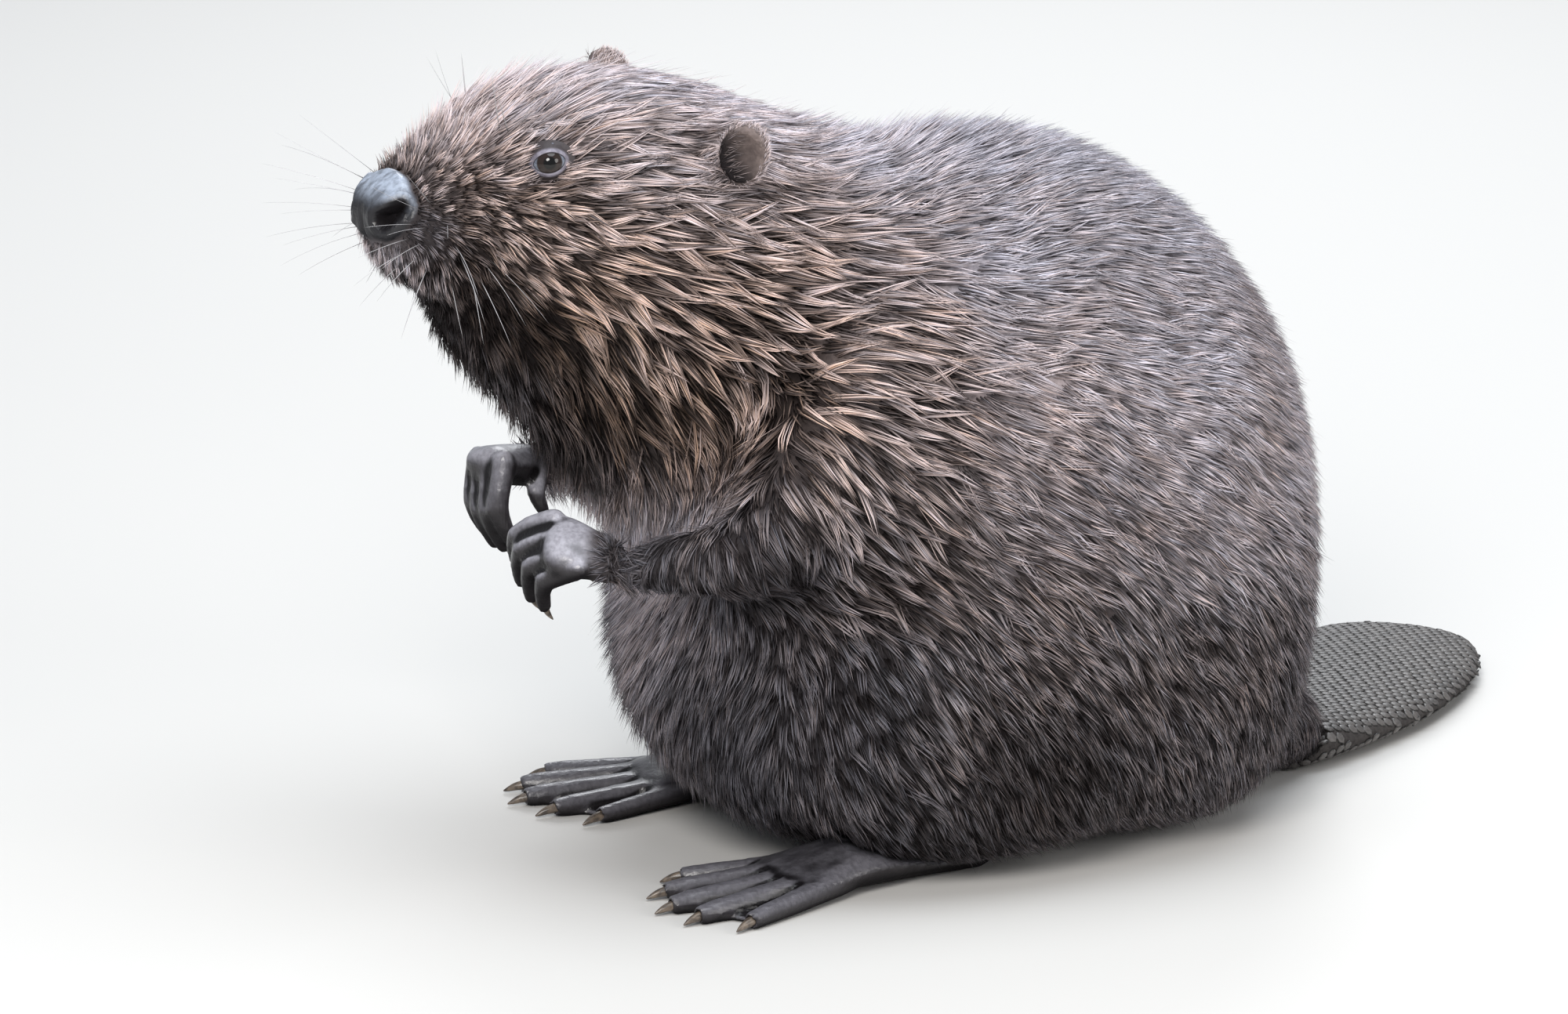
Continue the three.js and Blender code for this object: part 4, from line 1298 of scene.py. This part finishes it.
def coat_group():
    """The coat's markings and painted shade: dark roots to tips that go from grey to tawny by warmth, paler
    by lightness, which also carries painted shade and sheen.
    """
    group = bpy.data.node_groups.new("markings_and_shade", "ShaderNodeTree")
    for label in ("warm", "light", "base", "reach"):
        group.interface.new_socket(label, in_out="INPUT", socket_type="NodeSocketFloat")
    group.interface.new_socket("colour", in_out="OUTPUT", socket_type="NodeSocketColor")
    inside = group.nodes.new("NodeGroupInput")
    outside = group.nodes.new("NodeGroupOutput")
    mottle = smoothly(group, noise(group, 90.0, 3.0), 0.25, 0.75)
    warm = maths(group, "ADD", inside.outputs["warm"], maths(group, "MULTIPLY", mottle, 0.12))
    tip = mixed(group, maths(group, "MINIMUM", warm, 1.0), GREY_TIP, TAWNY_TIP)
    above = maths(group, "SUBTRACT", 1.0, inside.outputs["base"])
    along = maths(group, "MULTIPLY", above, inside.outputs["reach"])
    rise = maths(group, "ADD", along, inside.outputs["base"])
    shade = maths(group, "MULTIPLY", inside.outputs["light"], rise)
    put(group, outside.inputs["colour"], mixed(group, maths(group, "MINIMUM", shade, 1.0), ROOT, tip))
    return group


def coat_colour(tree, markings_and_shade, reach):
    """The markings and painted shade by the surface's own values, at a reach along the hair."""
    values = {name: attribute(tree, name) for name in ("warm", "light", "base")}
    return node(tree, "Group", {**values, "reach": reach}, "colour", node_tree=markings_and_shade)


def coat_material(markings_and_shade):
    material, tree = new_material("coat")
    reach = smoothly(tree, attribute(tree, "reach"), 0.02, 0.8)
    colour = coat_colour(tree, markings_and_shade, reach)
    rough = maths(tree, "ADD", maths(tree, "MULTIPLY", attribute(tree, "chance"), 0.16), 0.30)
    return dressed(material, Base_Color=colour, Roughness=rough, Specular_IOR_Level=0.04)


# Painted reflection: the pale blue on the top of the nose.
NOSE_TOP_REFLECTION = (0.360, 0.410, 0.500)
NOSE_FRONT = (0.018, 0.018, 0.021)
# Painted sheen: the pale blue-grey on the tops of the hands.
HAND_TOP_SHEEN = (0.420, 0.415, 0.470)
HAND_SIDE = (0.026, 0.023, 0.026)
# Painted shade: the near black under the hands.
HAND_UNDER_SHADE = (0.006, 0.005, 0.006)
EAR_SKIN = (0.190, 0.150, 0.140)
TAIL_SKIN = (0.050, 0.045, 0.043)
# The near black of the skin's own mottle, used also as painted shade in creases, nostrils, the mouth and the
# ears' hollows.
DARK_SKIN_AND_SHADE = (0.006, 0.005, 0.006)
NOSE_STREAKS = (0.5, 1.0, 0.22)


def skin_material(markings_and_shade):
    material, tree = new_material("skin")
    under = coat_colour(tree, markings_and_shade, 0.02)
    # The hands' tops get a painted sheen and their undersides painted shade, over their own dark side colour.
    lit = mixed(tree, attribute(tree, "over"), HAND_SIDE, HAND_TOP_SHEEN)
    hand_shaded_below = mixed(tree, attribute(tree, "under"), lit, HAND_UNDER_SHADE)
    bare = mixed(tree, attribute(tree, "hand"), under, hand_shaded_below)
    # The nose's top gets a painted sky reflection, broken by fine streaks, over its own dark leather.
    streaks = smoothly(tree, noise(tree, 260.0, 4.0, NOSE_STREAKS), 0.42, 0.66)
    unstreaked = maths(tree, "SUBTRACT", 1.0, maths(tree, "MULTIPLY", streaks, 0.55))
    pale = maths(tree, "MULTIPLY", attribute(tree, "over"), unstreaked)
    leather = mixed(tree, pale, NOSE_FRONT, NOSE_TOP_REFLECTION)
    nose = mixed(tree, attribute(tree, "nose"), bare, leather)
    ear = mixed(tree, attribute(tree, "ear"), nose, EAR_SKIN)
    scale = mixed(tree, attribute(tree, "scale"), ear, TAIL_SKIN)
    pebbles = noise(tree, 420.0, 3.0)
    mottled = mixed(tree, smoothly(tree, pebbles, 0.3, 0.75), scale, DARK_SKIN_AND_SHADE)
    pebbled = mixed(tree, 0.35, scale, mottled)
    # Painted shade in creases and between the fingers.
    crease_shaded = mixed(tree, smoothly(tree, attribute(tree, "hollow"), 0.02, 0.5), pebbled, DARK_SKIN_AND_SHADE)
    # Painted shade in the nostrils, the mouth and the ears' hollows.
    pit_shaded = mixed(tree, attribute(tree, "pit_shade"), crease_shaded, DARK_SKIN_AND_SHADE)
    bare_share = maths(tree, "MAXIMUM", attribute(tree, "nose"), attribute(tree, "hand"))
    dry = maths(tree, "MAXIMUM", attribute(tree, "pit_shade"), attribute(tree, "under"))
    wet = maths(tree, "MULTIPLY", bare_share, maths(tree, "SUBTRACT", 1.0, dry))
    return dressed(
        material,
        Base_Color=pit_shaded,
        Normal=bump(tree, pebbles, 0.0006, 0.8),
        Roughness=maths(tree, "SUBTRACT", 0.85, maths(tree, "MULTIPLY", wet, 0.45)),
        Coat_Weight=maths(tree, "MULTIPLY", wet, 0.6),
        Coat_Roughness=0.28,
        Specular_IOR_Level=0.12,
    )


WHISKER_ROOT = (0.05, 0.045, 0.045)
WHISKER_TIP = (0.42, 0.41, 0.42)


def whisker_material():
    """Stiff hair, dark at the root and pale towards the tip."""
    material, tree = new_material("whisker")
    tip = mixed(tree, attribute(tree, "light"), WHISKER_ROOT, WHISKER_TIP)
    colour = mixed(tree, smoothly(tree, attribute(tree, "reach"), 0.0, 0.35), WHISKER_ROOT, tip)
    return dressed(material, Base_Color=colour, Roughness=0.25)


def claw_material():
    """Horn, streaked along the claw and darker in the grain."""
    material, tree = new_material("claw")
    grain = noise(tree, 260.0, 4.0, (1.0, 4.0, 1.0))
    colour = mixed(tree, smoothly(tree, grain, 0.3, 0.7), (0.045, 0.036, 0.030), (0.16, 0.125, 0.095))
    return dressed(material, Base_Color=colour, Normal=bump(tree, grain, 0.0003, 0.6), Roughness=0.32)


def scale_material():
    """Horny scales, each its own shade, darker at the edge."""
    material, tree = new_material("scales")
    shade = mixed(tree, attribute(tree, "chance"), (0.040, 0.036, 0.034), (0.085, 0.076, 0.070))
    worn = mixed(tree, smoothly(tree, noise(tree, 900.0, 3.0), 0.35, 0.8), shade, (0.11, 0.10, 0.095))
    edge = mixed(tree, smoothly(tree, attribute(tree, "edge"), 0.4, 1.0), worn, (0.012, 0.011, 0.010))
    grain = bump(tree, noise(tree, 1500.0, 2.0), 0.0002, 0.6)
    return dressed(material, Base_Color=edge, Normal=grain, Roughness=0.42)


def plain(name, colour, roughness):
    return dressed(new_material(name)[0], Base_Color=colour, Roughness=roughness)


def eye_material():
    """A near-black middle, a dark rim and a blue-grey ring, by the distance from the eye's axis."""
    material, tree = new_material("eye")
    across = attribute(tree, "across")
    cloud = noise(tree, 700.0, 2.0)
    white = mixed(tree, smoothly(tree, cloud, 0.2, 0.8), (0.10, 0.115, 0.15), (0.20, 0.22, 0.26))
    iris = mixed(tree, smoothly(tree, across, 2.2, 3.2), (0.003, 0.003, 0.003), (0.020, 0.013, 0.011))
    ball = mixed(tree, smoothly(tree, across, 5.2, 6.0), iris, white)
    polish = {"Specular_IOR_Level": 0.2, "Coat_Weight": 0.5, "Coat_Roughness": 0.02}
    return dressed(material, Base_Color=ball, Roughness=0.08, **polish)


def build_eye(side, material):
    """An eyeball: a sphere about the eye's axis with a low bulge over the iris."""
    middle, to_nose, upward, outward = eye_axes(side)
    polar = np.linspace(0.0, math.pi, 42)[1:-1, None]
    around = np.linspace(0, 2 * math.pi, 64, endpoint=False)[None]
    across = BALL * np.sin(polar)
    radius = BALL + 0.5 * np.exp(-((across / 3.6) ** 4)) * (polar < 1.5)
    flat = np.cos(around)[..., None] * to_nose + np.sin(around)[..., None] * upward
    flat = flat * np.sin(polar)[..., None]
    points = middle + (flat + np.cos(polar)[..., None] * outward) * (radius * MM)[..., None]
    me = rings_mesh(f"eyeball_{side}", points)
    axis_gap = np.concatenate([np.broadcast_to(across, (len(polar), 64)).ravel(), [0, BALL * 0.01]])
    set_value(me, "across", np.where((points_of(me) - middle) @ outward > 0, axis_gap, BALL))
    o = piece(f"eyeball_{side}", me, material)
    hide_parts(f"eye_{side}")


def lid_material():
    """Violet-grey lids, paler along the rim, with fine folds."""
    material, tree = new_material("lids")
    folds = noise(tree, 500.0, 3.0)
    base = mixed(tree, smoothly(tree, folds, 0.3, 0.7), (0.13, 0.12, 0.15), (0.24, 0.225, 0.27))
    edge = mixed(tree, smoothly(tree, attribute(tree, "off_rim"), 0.15, 0.5), (0.012, 0.010, 0.012), base)
    outer = mixed(tree, smoothly(tree, attribute(tree, "off_rim"), 1.3, 2.4), edge, (0.035, 0.028, 0.030))
    return dressed(material, Base_Color=outer, Normal=bump(tree, folds, 0.0004, 0.7), Roughness=0.6)


LID_REACH = 5.0
LID_SIGHT = 14.0


def build_lids(side, hide, material):
    """A closed ring around an almond opening.

    Along each spoke the top goes from the ball, over a rim, out to the skin;
    the underside comes back below it.
    """
    middle, to_nose, upward, outward = eye_axes(side)
    around = np.linspace(0, 2 * math.pi, 72, endpoint=False)
    wide = LID_WIDE * np.cos(around)
    high = LID_HIGH * np.sign(np.sin(around)) * np.abs(np.sin(around)) ** 1.25
    spoke = unit(np.stack([np.cos(around) * LID_HIGH, np.sin(around) * LID_WIDE], -1))
    outer = np.stack([wide, high], -1) + spoke * LID_REACH
    above = middle + (outer[:, :1] * to_nose + outer[:, 1:] * upward + LID_SIGHT * outward) * MM
    tree = hide.tree
    met = [tree.ray_cast(Vector(p), Vector(-outward))[0] or tree.find_nearest(Vector(p))[0] for p in above]
    skin_high = (np.array(met) - middle) @ outward / MM
    off = np.array([0.0, 0.2, 0.5, 0.9, 1.4, 1.9, 2.5, 3.2, 4.0, LID_REACH])
    rim = np.array([0.05, 0.45, 0.7, 0.75, 0.7, 0.6, 0.5, 0.4, 0.2, 0.0])
    top = []
    for step, lift in zip(off, rim):
        flat = np.stack([wide, high], -1) + spoke * step
        ball = np.sqrt(np.maximum(BALL**2 - (flat**2).sum(1), 1.0))
        share = ease(np.full(len(around), step), 1.2, LID_REACH)
        fold = 0.3 * math.exp(-(((step - 2.4) / 0.45) ** 2)) * np.clip(np.sin(around), 0, 1)
        level = np.maximum(ball * (1 - share) + (skin_high - 0.4) * share, ball) + lift - fold
        top.append(np.concatenate([flat, level[:, None]], 1))
    top = np.stack(top)
    under = top[::-1].copy()
    under[..., 2] -= 1.2
    rings = np.concatenate([top, under])
    points = middle + (rings[..., :1] * to_nose + rings[..., 1:2] * upward + rings[..., 2:] * outward) * MM
    me = rings_mesh(f"lids_{side}", points, loop=True)
    set_value(me, "off_rim", np.repeat(np.concatenate([off, off[::-1]]), len(around)))
    piece(f"lids_{side}", me, material)


# ---- camera and light

AZIMUTH = math.radians(-22.0)
ELEVATION = math.radians(15.0)
DISTANCE = 5.0
FRAME_WIDTH = 0.70
SENSOR = 36.0
AIM_HEIGHT = 0.154
FLOOR_HALF = 6.0

# Each lamp: name, place, breadth, power and colour.
LIGHTS = [
    ("sky", (0.2, -0.3, 2.4), 2.2, 46.0, (0.90, 0.95, 1.0)),
    ("key", (-1.2, -1.9, 1.5), 1.0, 52.0, (1.0, 0.97, 0.94)),
    ("fill", (1.4, -1.8, 0.9), 1.2, 18.0, (1.0, 0.97, 0.95)),
    ("rear", (0.8, 1.8, 1.5), 1.2, 24.0, (0.95, 0.97, 1.0)),
]


def camera():
    data = bpy.data.cameras.new("camera")
    data.sensor_width = SENSOR
    data.lens = SENSOR * DISTANCE / FRAME_WIDTH
    data.clip_end = 30.0
    o = linked("camera", data)
    back = Vector((
        math.sin(AZIMUTH) * math.cos(ELEVATION),
        -math.cos(AZIMUTH) * math.cos(ELEVATION),
        math.sin(ELEVATION),
    ))
    target = Vector((BODY[0], BODY[1], AIM_HEIGHT))
    o.location = target + back * DISTANCE
    o.rotation_mode = "QUATERNION"
    o.rotation_quaternion = (-back).to_track_quat("-Z", "Y")
    bpy.context.scene.camera = o


def area_light(name, place, aim, size, power, colour):
    data = bpy.data.lights.new(name, "AREA")
    data.shape = "DISK"
    data.size = size
    data.energy = power
    data.color = colour
    o = linked(name, data)
    o.location = place
    o.rotation_mode = "QUATERNION"
    o.rotation_quaternion = (Vector(aim) - Vector(place)).to_track_quat("-Z", "Y")


def studio():
    scene = bpy.context.scene
    scene.view_settings.view_transform = "Standard"
    world = bpy.data.worlds.new("world")
    world.use_nodes = True
    world.node_tree.nodes["Background"].inputs[0].default_value = (0.80, 0.84, 0.90, 1.0)
    world.node_tree.nodes["Background"].inputs[1].default_value = 0.45
    scene.world = world
    middle = (0.0, 0.0, 0.16)
    for name, place, size, power, colour in LIGHTS:
        area_light(name, place, middle, size, power, colour)
    corners = np.array([(-1, -1, 0), (1, -1, 0), (1, 1, 0), (-1, 1, 0)], float) * FLOOR_HALF
    floor = mesh_of("floor", corners, np.array([[0, 1, 2, 3]]))
    floor.materials.append(plain("floor", (0.62, 0.61, 0.59), 0.8))
    linked("floor", floor)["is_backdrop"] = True


camera()
studio()
markings_and_shade = coat_group()
skin = build_skin(skin_material(markings_and_shade))
hide = Hide(skin)
fur = coat_material(markings_and_shade)
coat_layer("under_front", hide, UNDER_FRONT, True, (0.0, 0.5, 1.0), fur)
coat_layer("under_back", hide, UNDER_BACK, False, (0.0, 0.5, 1.0), fur)
coat_layer("coat_front", hide, OUTER_FRONT, True, (0.0, 0.33, 0.68, 1.0), fur)
coat_layer("coat_back", hide, OUTER_BACK, False, (0.0, 0.5, 1.0), fur)
ear_hair(hide, fur)
lid_hair(hide, fur)
cuffs(hide, fur)
build_whiskers(hide, whisker_material())
build_claws(claw_material())
build_scales(hide, scale_material())
eye = eye_material()
lid = lid_material()
for side in SIDES:
    build_eye(side, eye)
    build_lids(side, hide, lid)

low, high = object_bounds()
